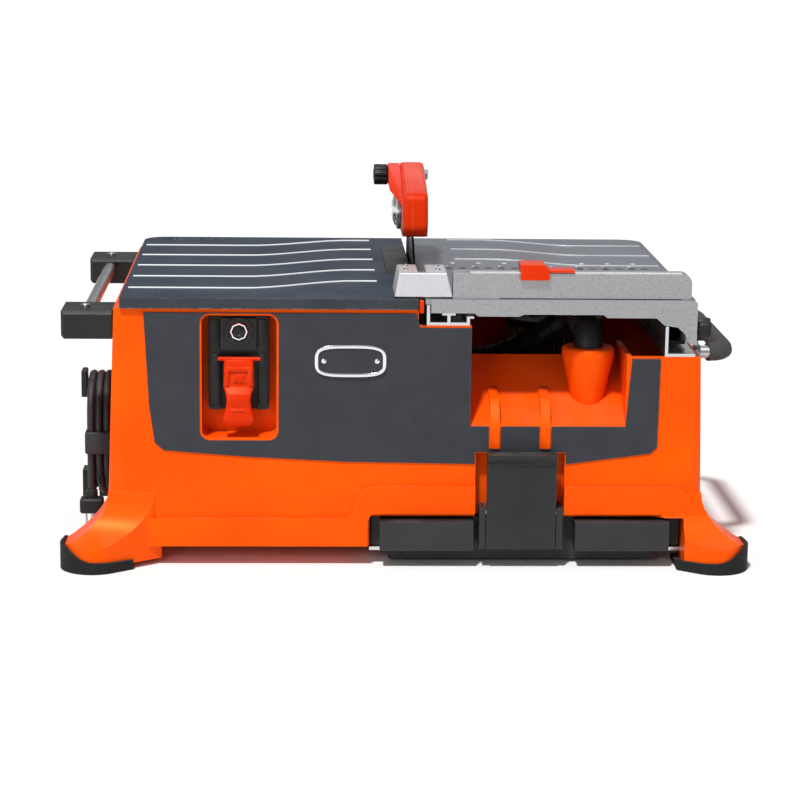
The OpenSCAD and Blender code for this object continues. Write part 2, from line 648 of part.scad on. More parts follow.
// ---- guard ----
module guard_outline(inset, opening) {
    hull() {
        translate([-42, guard_z + 12 + inset]) circle(r = 12 - inset, $fn = 32);
        translate([-36, guard_z + 34]) circle(r = 12 - inset, $fn = 32);
        translate([60, pivot_z + 2]) circle(r = 12 - inset, $fn = 32);
        translate([100, pivot_z - 12]) circle(r = 12 - inset, $fn = 32);
        translate([118, guard_z + 8]) circle(r = 8 - inset / 2, $fn = 32);
        translate([-40, guard_z - opening]) square([150, 10]);
    }
}
// One half of the hood; its outer side, which ease0 or ease1 names, is rounded towards the outline
module guard_half(x0, x1, ease0, ease1) {
    difference() {
        hull() {
            along_x(x0 + ease0, x1 - ease1) guard_outline(0, 0);
            along_x(x0 + 0.3 * ease0, x1 - 0.3 * ease1) guard_outline(0.3 * guard_ease, 0);
            along_x(x0, x1) guard_outline(guard_ease, 0);
        }
        along_x(guard_x0 + 2.5, guard_x1 - 2.5) guard_outline(2.5, 4);
        rod_x(-40, 60, pivot_r + run, pivot_y, pivot_z);
    }
}
module guard_left() color(red_orange) difference() {
    union() {
        guard_half(guard_x0, seam_x, guard_ease, 0);
        // shoulder that swells to the left under the knob and runs out at the front and the back
        difference() {
            hull() {
                rod_x(guard_x0 - 12, guard_x0 + 0.1, 11, 60, pivot_z + 2);
                rod_x(guard_x0 - 12, guard_x0 + 0.1, 8, 4, pivot_z - 15);
                rod_x(guard_x0 - 12, guard_x0 + 0.1, 8, 88, pivot_z - 9);
                rod_x(guard_x0 - 0.4, guard_x0 + 0.1, 10, -30, pivot_z - 25);
                rod_x(guard_x0 - 0.4, guard_x0 + 0.1, 10, 100, pivot_z - 13);
            }
            along_y(-80, 150) polygon([[guard_x0 - 20, pivot_z - 70], [guard_x0 - 20, pivot_z - 1],
                [guard_x0 - 12, pivot_z - 9], [guard_x0, pivot_z - 21], [guard_x0, pivot_z - 70]]);
        }
    }
    rod_x(-40, 60, pivot_r + run, pivot_y, pivot_z);
    rod_x(guard_x0 - 20, guard_x0, disc_r + gap, disc_y, disc_z);
}
// The right half has the slot that the riving knife stands in
module guard_right() color(red_orange) difference() {
    guard_half(seam_x, guard_x1, 0, guard_ease);
    block(blade_x - 2.5, blade_x + 2.5, pivot_y + 2, 140, guard_z - 10, pivot_z + 15);
}
module guard_disc() color(bright) translate([guard_x0, disc_y, disc_z]) rotate([0, -90, 0]) {
    cylinder(r = disc_r, h = 4, $fn = 64);
    cylinder(r1 = disc_r - 1, r2 = 12, h = 9, $fn = 64);
}
module guard_knob() color(black) {
    rod_x(guard_x0 - 27, guard_x0 - 12 - gap, 11, pivot_y, pivot_z);
    rod_x(guard_x0 - 20, guard_x1 + 4, pivot_r, pivot_y, pivot_z);
    rod_x(guard_x1 + gap, guard_x1 + 5, 6, pivot_y, pivot_z);
}

// ---- tray ----
module dust_tray() color(black) difference() {
    union() {
        block(tray_x0, tray_x1, tray_y0, tray_y1, 18, tray_top);
        block(-17, 248, tray_y0, tray_y1, 4, 19);
        for (g = [[-26, 66], [167, 260]]) block(g[0], g[1], face_y - 14, tray_y0 + 1, 18, tray_top);
        for (x = [latch_w0 - 7, latch_w1 + 1]) block(x, x + 6, pin_y - 5, tray_y0 + 1, 20, pin_z + 5);
    }
    block(tray_x0 + 3, tray_x1 - 3, tray_y0 + 3, tray_y1 - 3, 21, 60);
    block(-14, 245, tray_y0 + 3, tray_y1 - 3, 7, 30);
    for (g = [[-26, 66], [167, 260]]) block(g[0] + 3, g[1] - 3, face_y - 11, tray_y0 - 2, 10, tray_top - 3);
    rod_x(latch_w0 - 10, latch_w1 + 10, pin_r + run, pin_y, pin_z);
}
module tray_latch() color(slate) difference() {
    along_x(latch_w0, latch_w1) polygon([[face_y - 15, 20], [face_y - 9, 20], [face_y - 7, 30],
        [face_y - 2, 50], [face_y - 2, 62], [face_y - 6, 70], [face_y - 6, 108], [face_y - 3, 112],
        [face_y - 3, 116], [face_y - 20, 116], [face_y - 20, 112], [face_y - 15, 106]]);
    rod_x(latch_w0 - 1, latch_w1 + 1, pin_r + run, pin_y, pin_z);
}
module latch_pin() color(bright) rod_x(latch_w0 - 7, latch_w1 + 7, pin_r, pin_y, pin_z);
module tray_runners() color(bright) {
    block(bay_x0, -20, face_y + 4, bay_y1, 14, 17.4);
    block(251, bay_x1, face_y + 4, bay_y1, 14, 17.4);
}

// ---- switch ----
module switch_box() color(black) difference() {
    union() {
        along_y(face_y + 18, face_y + switch_depth) round_rect(-195, -135, 153, 246, 4);
        along_y(face_y + 13, face_y + 19) round_rect(-183, -148, 214, 245, 2);
        for (x = [-190, -144]) block(x, x + 4, face_y + 8, face_y + 19, paddle_z - 5, paddle_z + 5);
    }
    rod_y(face_y + 9, face_y + 30, 6 + gap, breaker_x, breaker_z);
    block(-183, -147, face_y + 17, face_y + 22, 140, 211);
    rod_x(-191, -139, 2 + run, paddle_y + 1, paddle_z);
}
module breaker_button() color(black) rod_y(face_y + 9, face_y + 26, 6, breaker_x, breaker_z);
module switch_paddle() color(red_orange) {
    along_x(-181, -149) polygon([[paddle_y - 2, paddle_z + 4], [paddle_y + 4, paddle_z + 4],
        [paddle_y + 4, 150], [paddle_y - 2, 140], [paddle_y - 10, 140], [paddle_y - 14, 148],
        [paddle_y - 14, 170], [paddle_y - 7, 182], [paddle_y - 7, 198]]);
    rod_x(-186.5, -143.5, 2, paddle_y + 1, paddle_z);
}

base_shell();
front_panel();
badge_plate();
foot_front_left();
foot_front_right();
foot_rear_left();
foot_rear_right();
left_table();
throat_insert();
rail_left();
rail_right();
sliding_table();
slide_bracket();
glide_blocks();
table_lock_knob();
fence();
fence_end_block();
fence_scale();
fence_stop();
handle_bracket_front();
handle_bracket_rear();
handle_bar();
handle_screws();
right_handle_tube();
right_handle_grip();
cord_hooks();
cord_gland();
cord_lead();
cord_hank();
cord_strap();
plug();
cyclone_cone();
dust_hose();
filter_cartridge();
motor_housing();
motor_shaft();
motor_pulley();
drive_belt();
fan_impeller();
fan_housing();
arbor_housing();
arbor_bearings();
arbor_shaft();
arbor_pulley();
blade();
blade_flanges();
arbor_nut();
blade_shroud();
riving_knife();
guard_left();
guard_right();
guard_disc();
guard_knob();
dust_tray();
tray_latch();
latch_pin();
tray_runners();
switch_box();
breaker_button();
switch_paddle();
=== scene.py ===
# %% [markdown]
# A bench-top tile saw, dressed around its CAD frame.
# The frame gives every part's place and the bodies that move. Blender adds the looks: rounded edges,
# small fittings and finishes. All lengths are in metres, and the frame's axes are X right, Y back, Z up.

# %% Load the frame
import bpy, bmesh, json, math
from mathutils import Matrix, Vector

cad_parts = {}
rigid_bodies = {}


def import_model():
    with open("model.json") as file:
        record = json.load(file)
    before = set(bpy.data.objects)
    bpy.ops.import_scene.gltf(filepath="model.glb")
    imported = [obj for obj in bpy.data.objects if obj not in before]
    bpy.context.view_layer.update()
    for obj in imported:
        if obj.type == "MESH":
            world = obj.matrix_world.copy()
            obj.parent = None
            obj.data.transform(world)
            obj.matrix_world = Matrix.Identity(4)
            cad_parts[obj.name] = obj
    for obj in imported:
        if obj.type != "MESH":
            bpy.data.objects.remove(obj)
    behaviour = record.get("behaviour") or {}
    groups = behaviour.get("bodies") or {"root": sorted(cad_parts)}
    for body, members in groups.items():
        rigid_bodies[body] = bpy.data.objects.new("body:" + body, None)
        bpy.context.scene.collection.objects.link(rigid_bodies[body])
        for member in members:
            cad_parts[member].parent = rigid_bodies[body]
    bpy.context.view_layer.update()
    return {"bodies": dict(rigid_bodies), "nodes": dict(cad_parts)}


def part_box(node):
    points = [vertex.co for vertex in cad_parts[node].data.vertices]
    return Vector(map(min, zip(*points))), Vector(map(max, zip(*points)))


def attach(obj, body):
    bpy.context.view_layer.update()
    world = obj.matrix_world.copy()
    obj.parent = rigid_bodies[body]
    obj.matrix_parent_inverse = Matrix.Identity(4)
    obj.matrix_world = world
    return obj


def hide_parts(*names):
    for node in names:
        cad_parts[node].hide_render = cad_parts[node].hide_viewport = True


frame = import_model()
MM = 0.001


def corners(node):
    """The low and the high corner of a frame node's box."""
    return tuple(Vector(corner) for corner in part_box(node))


# %% [markdown]
# The camera stands in front of the saw and looks slightly down on its tables. A long lens far away
# keeps the box shape calm, as a catalogue picture does. Its direction is worked out from three small
# turns, because that keeps the roll of the horizon in hand, which a Track To constraint would not.

# %% Camera
CAMERA_PLACE = Vector((-0.10526, -2.54907, 0.65751))
YAW, PITCH, ROLL = 0.0418, 0.2062, 0.0124
forward = Vector((math.sin(YAW) * math.cos(PITCH), math.cos(YAW) * math.cos(PITCH), -math.sin(PITCH)))
level_right = Vector((math.cos(YAW), -math.sin(YAW), 0))
level_up = level_right.cross(forward)
right = math.cos(ROLL) * level_right + math.sin(ROLL) * level_up
up = -math.sin(ROLL) * level_right + math.cos(ROLL) * level_up
camera = bpy.data.objects.new("camera", bpy.data.cameras.new("camera"))
bpy.context.scene.collection.objects.link(camera)
camera.data.sensor_width = 36
camera.data.lens = 110.14
camera.matrix_world = Matrix.Translation(CAMERA_PLACE) @ Matrix((right, up, -forward)).transposed().to_4x4()
bpy.context.scene.camera = camera
print("camera at", tuple(round(x, 2) for x in CAMERA_PLACE))

# %% [markdown]
# The studio is a wide pale floor in soft noon light. A sun high in front turns the floor white and
# lets the slopes, steps and ledges of the body shade themselves. A dim sky keeps the plastics deep in
# colour, and one big lamp behind draws a bright line along the tables' edges.

# %% Studio floor and light
def soft_lamp(name, place, target, size, power, colour=(1, 1, 1)):
    lamp = bpy.data.objects.new(name, bpy.data.lights.new(name, "AREA"))
    lamp.data.shape, lamp.data.size, lamp.data.energy, lamp.data.color = "DISK", size, power, colour
    lamp.location = place
    lamp.rotation_euler = (Vector(target) - Vector(place)).to_track_quat("-Z", "Y").to_euler()
    bpy.context.scene.collection.objects.link(lamp)


floor_mesh = bmesh.new()
bmesh.ops.create_grid(floor_mesh, x_segments=1, y_segments=1, size=60)
floor = bpy.data.objects.new("studio_floor", bpy.data.meshes.new("studio_floor"))
floor_mesh.to_mesh(floor.data)
floor_mesh.free()
bpy.context.scene.collection.objects.link(floor)
paper = bpy.data.materials.new("studio_paper")
paper.use_nodes = True
paper.node_tree.nodes["Principled BSDF"].inputs["Base Color"].default_value = (0.84, 0.84, 0.84, 1)
paper.node_tree.nodes["Principled BSDF"].inputs["Roughness"].default_value = 0.9
floor.data.materials.append(paper)

world = bpy.data.worlds.new("studio_air")
world.use_nodes = True
world.node_tree.nodes["Background"].inputs["Color"].default_value = (1, 1, 1, 1)
world.node_tree.nodes["Background"].inputs["Strength"].default_value = 0.3
bpy.context.scene.world = world
sun = bpy.data.objects.new("sun", bpy.data.lights.new("sun", "SUN"))
sun.data.energy, sun.data.angle = 3.4, math.radians(5)
sun.rotation_euler = Vector((0.22, 0.5, -1)).to_track_quat("-Z", "Y").to_euler()
bpy.context.scene.collection.objects.link(sun)
soft_lamp("front_lamp", (-0.9, -2.2, 0.9), (0, 0, 0.15), 0.8, 7)
soft_lamp("back_lamp", (0.4, 2.2, 1.8), (0, 0, 0.25), 1.2, 4)
bpy.context.scene.view_settings.view_transform = "Standard"
print("studio: floor, air, sun and 2 soft lamps")

# %% [markdown]
# Every finish below is a Principled BSDF fed by a few node groups. This helper makes a material and
# hands back a small kit: its tree, its shader, and short ways to add and join nodes, so that each
# finish reads as a recipe of what differs.

# %% Material kit
class Finish:
    """A material under construction: node() adds a node, join() links two sockets."""

    def __init__(self, name, roughness=0.5, metallic=0.0, **constants):
        self.material = bpy.data.materials.new(name)
        self.material.use_nodes = True
        self.tree = self.material.node_tree
        self.shader = self.tree.nodes["Principled BSDF"]
        self.shader.inputs["Roughness"].default_value = roughness
        self.shader.inputs["Metallic"].default_value = metallic
        for socket, value in constants.items():
            self.shader.inputs[socket.replace("_", " ")].default_value = value
        self.place = self.tree.nodes.new("ShaderNodeTexCoord").outputs["Object"]

    def node(self, kind, **inputs):
        node = self.tree.nodes.new(kind)
        for socket, value in inputs.items():
            node.inputs[socket.replace("_", " ")].default_value = value
        return node

    def join(self, start, end):
        self.tree.links.new(start, end)

    def group(self, group, **inputs):
        node = self.tree.nodes.new("ShaderNodeGroup")
        node.node_tree = group
        for socket, value in inputs.items():
            node.inputs[socket.replace("_", " ")].default_value = value
        self.join(self.place, node.inputs["Place"])
        return node

    def mix(self, mask, low, high):
        """Colour or socket low where the mask is 0, high where it is 1."""
        node = self.tree.nodes.new("ShaderNodeMix")
        node.data_type = "RGBA"
        self.join(mask, node.inputs["Factor"])
        for socket, value in ((node.inputs[6], low), (node.inputs[7], high)):
            if isinstance(value, tuple):
                socket.default_value = (*value, 1)
            else:
                self.join(value, socket)
        return node.outputs[2]

    def spread(self, mask, low, high):
        """A number that runs from low to high with the mask."""
        node = self.node("ShaderNodeMapRange", To_Min=low, To_Max=high)
        self.join(mask, node.inputs["Value"])
        return node.outputs["Result"]

    def bump(self, height, distance, strength=1.0):
        node = self.node("ShaderNodeBump", Strength=strength, Distance=distance)
        self.join(height, node.inputs["Height"])
        self.join(node.outputs["Normal"], self.shader.inputs["Normal"])

    def colour(self, socket):
        self.join(socket, self.shader.inputs["Base Color"])

    def roughness(self, socket):
        self.join(socket, self.shader.inputs["Roughness"])


print("material kit ready")

# %% [markdown]
# Moulded plastic, castings and rubber all carry a fine skin texture, larger cloudy variation and a
# little dust on what faces up. Each is one node group with named sockets, built once. Groups put out
# only masks and heights, so that each material still owns its shader.

# %% Shared node groups
def new_group(name, inputs, outputs):
    group = bpy.data.node_groups.new(name, "ShaderNodeTree")
    group.interface.new_socket("Place", in_out="INPUT", socket_type="NodeSocketVector")
    for socket, value in inputs.items():
        made = group.interface.new_socket(socket, in_out="INPUT", socket_type="NodeSocketFloat")
        made.default_value = value
    for socket in outputs:
        group.interface.new_socket(socket, in_out="OUTPUT", socket_type="NodeSocketFloat")
    return group, group.nodes.new("NodeGroupInput"), group.nodes.new("NodeGroupOutput")


def noise_in(group, vector, scale, detail=2.0, roughness=0.5, times=1.0):
    """A noise texture in a group; scale is a socket, and times makes it finer or coarser."""
    noise = group.nodes.new("ShaderNodeTexNoise")
    noise.inputs["Detail"].default_value = detail
    noise.inputs["Roughness"].default_value = roughness
    group.links.new(vector, noise.inputs["Vector"])
    factor = group.nodes.new("ShaderNodeMath")
    factor.operation = "MULTIPLY"
    factor.inputs[1].default_value = times
    group.links.new(scale, factor.inputs[0])
    group.links.new(factor.outputs[0], noise.inputs["Scale"])
    return noise.outputs["Fac"]


def contrast_in(group, value, low, high):
    """Stretches a value between low and high to 0..1."""
    node = group.nodes.new("ShaderNodeMapRange")
    node.inputs["From Min"].default_value = low
    node.inputs["From Max"].default_value = high
    group.links.new(value, node.inputs["Value"])
    return node.outputs["Result"]


# skin: pebbled surface of a moulding or casting, and its slow cloudiness
skin, g_in, g_out = new_group("skin", {"Grain Scale": 900, "Cloud Scale": 12}, ("Height", "Cloud"))
skin.links.new(noise_in(skin, g_in.outputs["Place"], g_in.outputs["Grain Scale"], 3, 0.6), g_out.inputs["Height"])
cloud = noise_in(skin, g_in.outputs["Place"], g_in.outputs["Cloud Scale"], 4, 0.55)
skin.links.new(contrast_in(skin, cloud, 0.35, 0.65), g_out.inputs["Cloud"])

# speckle: bright and dark crystals, as in a sand-cast or sprayed finish
speckle, g_in, g_out = new_group("speckle", {"Scale": 700}, ("Light", "Dark"))
fine = noise_in(speckle, g_in.outputs["Place"], g_in.outputs["Scale"], 2, 0.7)
coarse = noise_in(speckle, g_in.outputs["Place"], g_in.outputs["Scale"], 2, 0.7, 0.55)
speckle.links.new(contrast_in(speckle, fine, 0.55, 0.72), g_out.inputs["Light"])
speckle.links.new(contrast_in(speckle, coarse, 0.46, 0.3), g_out.inputs["Dark"])

# wear: rubbed arrises, found where the rounded normal leaves the flat one, broken up by noise
wear, g_in, g_out = new_group("wear", {"Width": 0.0012, "Break": 220}, ("Edge",))
rounded = wear.nodes.new("ShaderNodeBevel")
rounded.samples = 4
wear.links.new(g_in.outputs["Width"], rounded.inputs["Radius"])
flat = wear.nodes.new("ShaderNodeNewGeometry")
turn = wear.nodes.new("ShaderNodeVectorMath")
turn.operation = "DOT_PRODUCT"
wear.links.new(rounded.outputs["Normal"], turn.inputs[0])
wear.links.new(flat.outputs["Normal"], turn.inputs[1])
edge = contrast_in(wear, turn.outputs["Value"], 0.995, 0.9)
broken = contrast_in(wear, noise_in(wear, g_in.outputs["Place"], g_in.outputs["Break"], 3), 0.38, 0.6)
both = wear.nodes.new("ShaderNodeMath")
both.operation = "MULTIPLY"
wear.links.new(edge, both.inputs[0])
wear.links.new(broken, both.inputs[1])
wear.links.new(both.outputs[0], g_out.inputs["Edge"])

# dust: a thin film of cutting dust on faces that look up
dust, g_in, g_out = new_group("dust", {"Patch Scale": 30}, ("Film",))
facing = dust.nodes.new("ShaderNodeNewGeometry")
axes = dust.nodes.new("ShaderNodeSeparateXYZ")
dust.links.new(facing.outputs["Normal"], axes.inputs[0])
upward = contrast_in(dust, axes.outputs["Z"], 0.35, 1.0)
patches = contrast_in(dust, noise_in(dust, g_in.outputs["Place"], g_in.outputs["Patch Scale"], 5, 0.6), 0.42, 0.75)
film = dust.nodes.new("ShaderNodeMath")
film.operation = "MULTIPLY"
dust.links.new(upward, film.inputs[0])
dust.links.new(patches, film.inputs[1])
dust.links.new(film.outputs[0], g_out.inputs["Film"])

# streaks: fine scratches along one axis; the three stretches say which
streaks, g_in, g_out = new_group("streaks", {"Along X": 1, "Along Y": 1, "Along Z": 1, "Scale": 900}, ("Line",))
stretch = streaks.nodes.new("ShaderNodeCombineXYZ")
for axis in "XYZ":
    streaks.links.new(g_in.outputs[f"Along {axis}"], stretch.inputs[axis])
scaled = streaks.nodes.new("ShaderNodeVectorMath")
scaled.operation = "MULTIPLY"
streaks.links.new(g_in.outputs["Place"], scaled.inputs[0])
streaks.links.new(stretch.outputs[0], scaled.inputs[1])
streaks.links.new(noise_in(streaks, scaled.outputs[0], g_in.outputs["Scale"], 3, 0.65), g_out.inputs["Line"])
print("node groups:", [g.name for g in bpy.data.node_groups])

# %% [markdown]
# Plastics first. A moulding is one colour right through, yet it never looks flat: the skin is pebbled
# by the tool, thick places cool paler than thin ones, arrises are rubbed light and tile dust settles
# on ledges. One recipe takes the tones, and each part's own plastic is a call to it.

# %% Plastics and rubbers
TILE_DUST = (0.55, 0.53, 0.5)


def moulded(name, tone, second_tone, worn, roughness, grain_scale=1100, grain_depth=0.00004,
            wear_share=0.5, dust_share=0.2, cloud_scale=14, **constants):
    finish = Finish(name, roughness[0], **constants)
    surface = finish.group(skin, Grain_Scale=grain_scale, Cloud_Scale=cloud_scale)
    colour = finish.mix(surface.outputs["Cloud"], tone, second_tone)
    rubbed = finish.spread(finish.group(wear).outputs["Edge"], 0, wear_share)
    colour = finish.mix(rubbed, colour, worn)
    dusty = finish.spread(finish.group(dust).outputs["Film"], 0, dust_share)
    finish.colour(finish.mix(dusty, colour, TILE_DUST))
    finish.roughness(finish.spread(surface.outputs["Cloud"], *roughness))
    finish.bump(surface.outputs["Height"], grain_depth)
    return finish.material


shell_orange = moulded("shell_orange", (0.9, 0.088, 0.001), (0.84, 0.072, 0.001), (1.0, 0.22, 0.03),
                       (0.34, 0.44), wear_share=0.4, dust_share=0.05, Specular_Tint=(1, 0.4, 0.1, 1))
guard_red = moulded("guard_red", (0.68, 0.03, 0.002), (0.6, 0.022, 0.0015), (1.0, 0.2, 0.06),
                    (0.36, 0.46), wear_share=0.45, dust_share=0.05, Specular_IOR_Level=0.3,
                    Specular_Tint=(1, 0.4, 0.2, 1))
satin_black = moulded("satin_black", (0.006, 0.0065, 0.007), (0.01, 0.011, 0.011), (0.07, 0.07, 0.07),
                      (0.36, 0.5), grain_scale=1300, wear_share=0.4, dust_share=0.05, Specular_IOR_Level=0.34)
tray_black = moulded("tray_black", (0.017, 0.018, 0.02), (0.025, 0.027, 0.028), (0.12, 0.12, 0.12), (0.42, 0.55),
                     grain_scale=1500, grain_depth=0.00007, dust_share=0.06, Specular_IOR_Level=0.34)
latch_charcoal = moulded("latch_charcoal", (0.014, 0.015, 0.016), (0.021, 0.022, 0.023), (0.1, 0.1, 0.1),
                         (0.45, 0.58), grain_scale=1600, grain_depth=0.00009, dust_share=0.1,
                         Specular_IOR_Level=0.34)
panel_slate = moulded("panel_slate", (0.022, 0.0245, 0.031), (0.029, 0.0315, 0.039), (0.12, 0.12, 0.13),
                      (0.5, 0.62), grain_scale=2200, grain_depth=0.00003, cloud_scale=40, dust_share=0.04,
                      Specular_IOR_Level=0.34)
foot_rubber = moulded("foot_rubber", (0.006, 0.006, 0.007), (0.011, 0.011, 0.012), (0.05, 0.05, 0.05),
                      (0.7, 0.85), grain_scale=700, grain_depth=0.00012, dust_share=0.12, Specular_IOR_Level=0.3)
lead_rubber = moulded("lead_rubber", (0.011, 0.011, 0.012), (0.016, 0.016, 0.017), (0.04, 0.04, 0.04),
                      (0.45, 0.6), grain_scale=1800, grain_depth=0.00003, wear_share=0.2, dust_share=0.12)
belt_black = moulded("belt_black", (0.014, 0.014, 0.014), (0.02, 0.02, 0.02), (0.07, 0.07, 0.07), (0.65, 0.8))
natural_nylon = moulded("natural_nylon", (0.55, 0.54, 0.48), (0.62, 0.6, 0.54), (0.75, 0.74, 0.7), (0.38, 0.5))
scale_white = moulded("scale_white", (0.72, 0.72, 0.7), (0.66, 0.66, 0.65), (0.8, 0.8, 0.78), (0.35, 0.5),
                      grain_depth=0.00001)
print("plastics:", [m.name for m in bpy.data.materials])

# %% [markdown]
# Foam on the right handle is closed-cell: a dark sponge with paler open cells. Voronoi cells give the
# pores their round shape, which plain noise cannot.

# %% Handle foam
foam = Finish("handle_foam", 0.85)
cells = foam.node("ShaderNodeTexVoronoi", Scale=620.0)
foam.join(foam.place, cells.inputs["Vector"])
surface = foam.group(skin, Grain_Scale=500, Cloud_Scale=60)
pore = foam.spread(cells.outputs["Distance"], 1, 0)
foam.colour(foam.mix(surface.outputs["Height"], (0.02, 0.02, 0.021), (0.075, 0.076, 0.078)))
foam.roughness(foam.spread(pore, 0.75, 0.95))
foam.bump(pore, 0.0004, 0.8)
handle_foam = foam.material
print("foam pores about", round(1000 / 620, 1), "mm apart")

# %% [markdown]
# Metals come next. The sliding table, the fence and the end block are aluminium castings, bead
# blasted to a sparkle: light and dark crystals over grey. Extrusions and bars are drawn, so their
# scratches run along one axis, which the streak group stretches.

# %% Castings and drawn metal
def cast(name, tone, light, dark, roughness, crystals=1900, depth=0.00005, metallic=0.75, wear_share=0.6):
    finish = Finish(name, roughness[0], metallic)
    surface = finish.group(skin, Grain_Scale=crystals, Cloud_Scale=18)
    crystal = finish.group(speckle, Scale=crystals)
    colour = finish.mix(crystal.outputs["Dark"], tone, dark)
    colour = finish.mix(crystal.outputs["Light"], colour, light)
    rubbed = finish.spread(finish.group(wear).outputs["Edge"], 0, wear_share)
    finish.colour(finish.mix(rubbed, colour, (0.75, 0.75, 0.76)))
    finish.roughness(finish.spread(surface.outputs["Cloud"], *roughness))
    finish.bump(surface.outputs["Height"], depth)
    return finish


def drawn(name, tone, second_tone, roughness, along, scale=1400, depth=0.00002, metallic=1.0):
    """along is the axis that the scratches follow: their pattern is stretched 40 times that way."""
    finish = Finish(name, roughness[0], metallic)
    stretches = {f"Along_{axis}": (0.025 if axis == along else 1.0) for axis in "XYZ"}
    line = finish.group(streaks, Scale=scale, **stretches)
    surface = finish.group(skin, Grain_Scale=500, Cloud_Scale=25)
    finish.colour(finish.mix(line.outputs["Line"], tone, second_tone))
    rough = finish.node("ShaderNodeMath")
    rough.operation = "MULTIPLY"
    finish.join(line.outputs["Line"], rough.inputs[0])
    finish.join(surface.outputs["Cloud"], rough.inputs[1])
    finish.roughness(finish.spread(rough.outputs[0], *roughness))
    finish.bump(line.outputs["Line"], depth)
    return finish.material


cast_alloy = cast("cast_alloy", (0.37, 0.375, 0.385), (0.62, 0.63, 0.64), (0.2, 0.2, 0.21), (0.4, 0.55)).material
end_alloy = cast("end_block_alloy", (0.64, 0.64, 0.67), (0.9, 0.9, 0.93), (0.46, 0.46, 0.48), (0.35, 0.48)).material
hidden_alloy = cast("housing_alloy", (0.11, 0.11, 0.115), (0.2, 0.2, 0.2), (0.06, 0.06, 0.06), (0.5, 0.65)).material
rail_alloy = drawn("rail_alloy", (0.6, 0.61, 0.62), (0.78, 0.79, 0.8), (0.25, 0.4), "Y")
bar_steel = drawn("bar_steel", (0.42, 0.42, 0.43), (0.62, 0.62, 0.63), (0.28, 0.5), "Y", 900, 0.00006)
bright_steel = drawn("bright_steel", (0.55, 0.55, 0.55), (0.7, 0.7, 0.7), (0.2, 0.35), "X")
dark_steel = drawn("dark_steel", (0.09, 0.09, 0.095), (0.17, 0.17, 0.175), (0.35, 0.5), "Z")
badge_chrome = drawn("badge_chrome", (0.72, 0.72, 0.73), (0.85, 0.85, 0.86), (0.12, 0.25), "X")
print("metals ready")

# %% [markdown]
# The fixed table is a casting with a thick slate-blue coat; the slide's top is coated grey. On both
# the raised guide lines carry a painted highlight: their tops are painted near white. Height alone tells a line from
# the ground, so a mask on the object's own Z paints them without any extra piece.

# %% Table tops
TABLE_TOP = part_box("throat_insert")[1][2]


def table_top(name, finish, ground, ground_2, line):
    """Paints the ground at the table's level and a painted highlight on the raised lines above it, on a finished
    recipe.
    """
    axes = finish.node("ShaderNodeSeparateXYZ")
    finish.join(finish.place, axes.inputs[0])
    level = finish.node("ShaderNodeMapRange", From_Min=TABLE_TOP - 0.0006, From_Max=TABLE_TOP - 0.0003)
    finish.join(axes.outputs["Z"], level.inputs["Value"])
    # Mask for the painted highlight: the raised lines stand just above the table's level.
    raised = finish.node("ShaderNodeMapRange", From_Min=TABLE_TOP + 0.0001, From_Max=TABLE_TOP + 0.0003)
    finish.join(axes.outputs["Z"], raised.inputs["Value"])
    below = finish.shader.inputs["Base Color"].links[0].from_socket
    surface = finish.group(skin, Grain_Scale=300, Cloud_Scale=9)
    scuffs = finish.group(streaks, Along_X=0.9, Along_Y=0.05, Along_Z=1, Scale=160)
    scuffed = finish.node("ShaderNodeMapRange", From_Min=0.6, From_Max=0.8, To_Max=0.35)
    finish.join(scuffs.outputs["Line"], scuffed.inputs["Value"])
    top = finish.mix(surface.outputs["Cloud"], ground, ground_2)
    top = finish.mix(scuffed.outputs["Result"], top, tuple(2.2 * c for c in ground))
    colour = finish.mix(level.outputs["Result"], below, top)
    finish.colour(finish.mix(raised.outputs["Result"], colour, line))
    return finish.material


coat = Finish("table_coat", 0.38, Specular_IOR_Level=0.06)
surface = coat.group(skin, Grain_Scale=1000, Cloud_Scale=16)
edge = coat.spread(coat.group(wear).outputs["Edge"], 0, 0.7)
base_tone = coat.mix(surface.outputs["Cloud"], (0.035, 0.042, 0.05), (0.047, 0.054, 0.062))
coat.colour(coat.mix(edge, base_tone, (0.5, 0.52, 0.55)))
coat.roughness(coat.spread(surface.outputs["Cloud"], 0.42, 0.58))
coat.bump(surface.outputs["Height"], 0.00006)
# The last colour in each call is the painted highlight on the raised lines.
table_blue = table_top("table_blue", coat, (0.034, 0.045, 0.062), (0.044, 0.056, 0.075), (0.8, 0.82, 0.84))
slide_grey = table_top("slide_grey", cast("slide_casting", (0.37, 0.375, 0.385), (0.62, 0.63, 0.64), (0.2, 0.2, 0.21),
                                          (0.4, 0.55)), (0.2, 0.21, 0.245), (0.235, 0.245, 0.28), (0.85, 0.86, 0.88))
print("table top at", round(TABLE_TOP, 4), "m")

# %% [markdown]
# New pieces are made with bmesh operators. Three shapes cover most fittings: a turned part, spun from
# a half profile as on a lathe; a bar with eased edges; and a lobed disc for knobs. Each goes into a
# bmesh that may already hold others, so that one piece can be built from several.

# %% Modelling helpers
def turned(bm, profile, centre, axis, steps=40, angle=2 * math.pi, start=0.0):
    """Spins (along, radius) points about an axis through centre. Radius 0 closes a pole."""
    axis = Vector(axis).normalized()
    side = Matrix.Rotation(start, 3, axis) @ axis.orthogonal().normalized()
    centre = Vector(centre)
    chain = [bm.verts.new(centre + axis * along + side * radius) for along, radius in profile]
    edges = [bm.edges.new(pair) for pair in zip(chain, chain[1:])]
    bmesh.ops.spin(bm, geom=chain + edges, cent=centre, axis=axis, angle=angle, steps=steps,
                   use_merge=angle > 6.28)


def stand(bm, centre, axis):
    """Moves what was built around the origin, looking up Z, so that it stands at centre and looks along axis."""
    turn = Vector((0, 0, 1)).rotation_difference(Vector(axis)).to_matrix().to_4x4()
    bmesh.ops.transform(bm, matrix=Matrix.Translation(Vector(centre)) @ turn, verts=bm.verts)


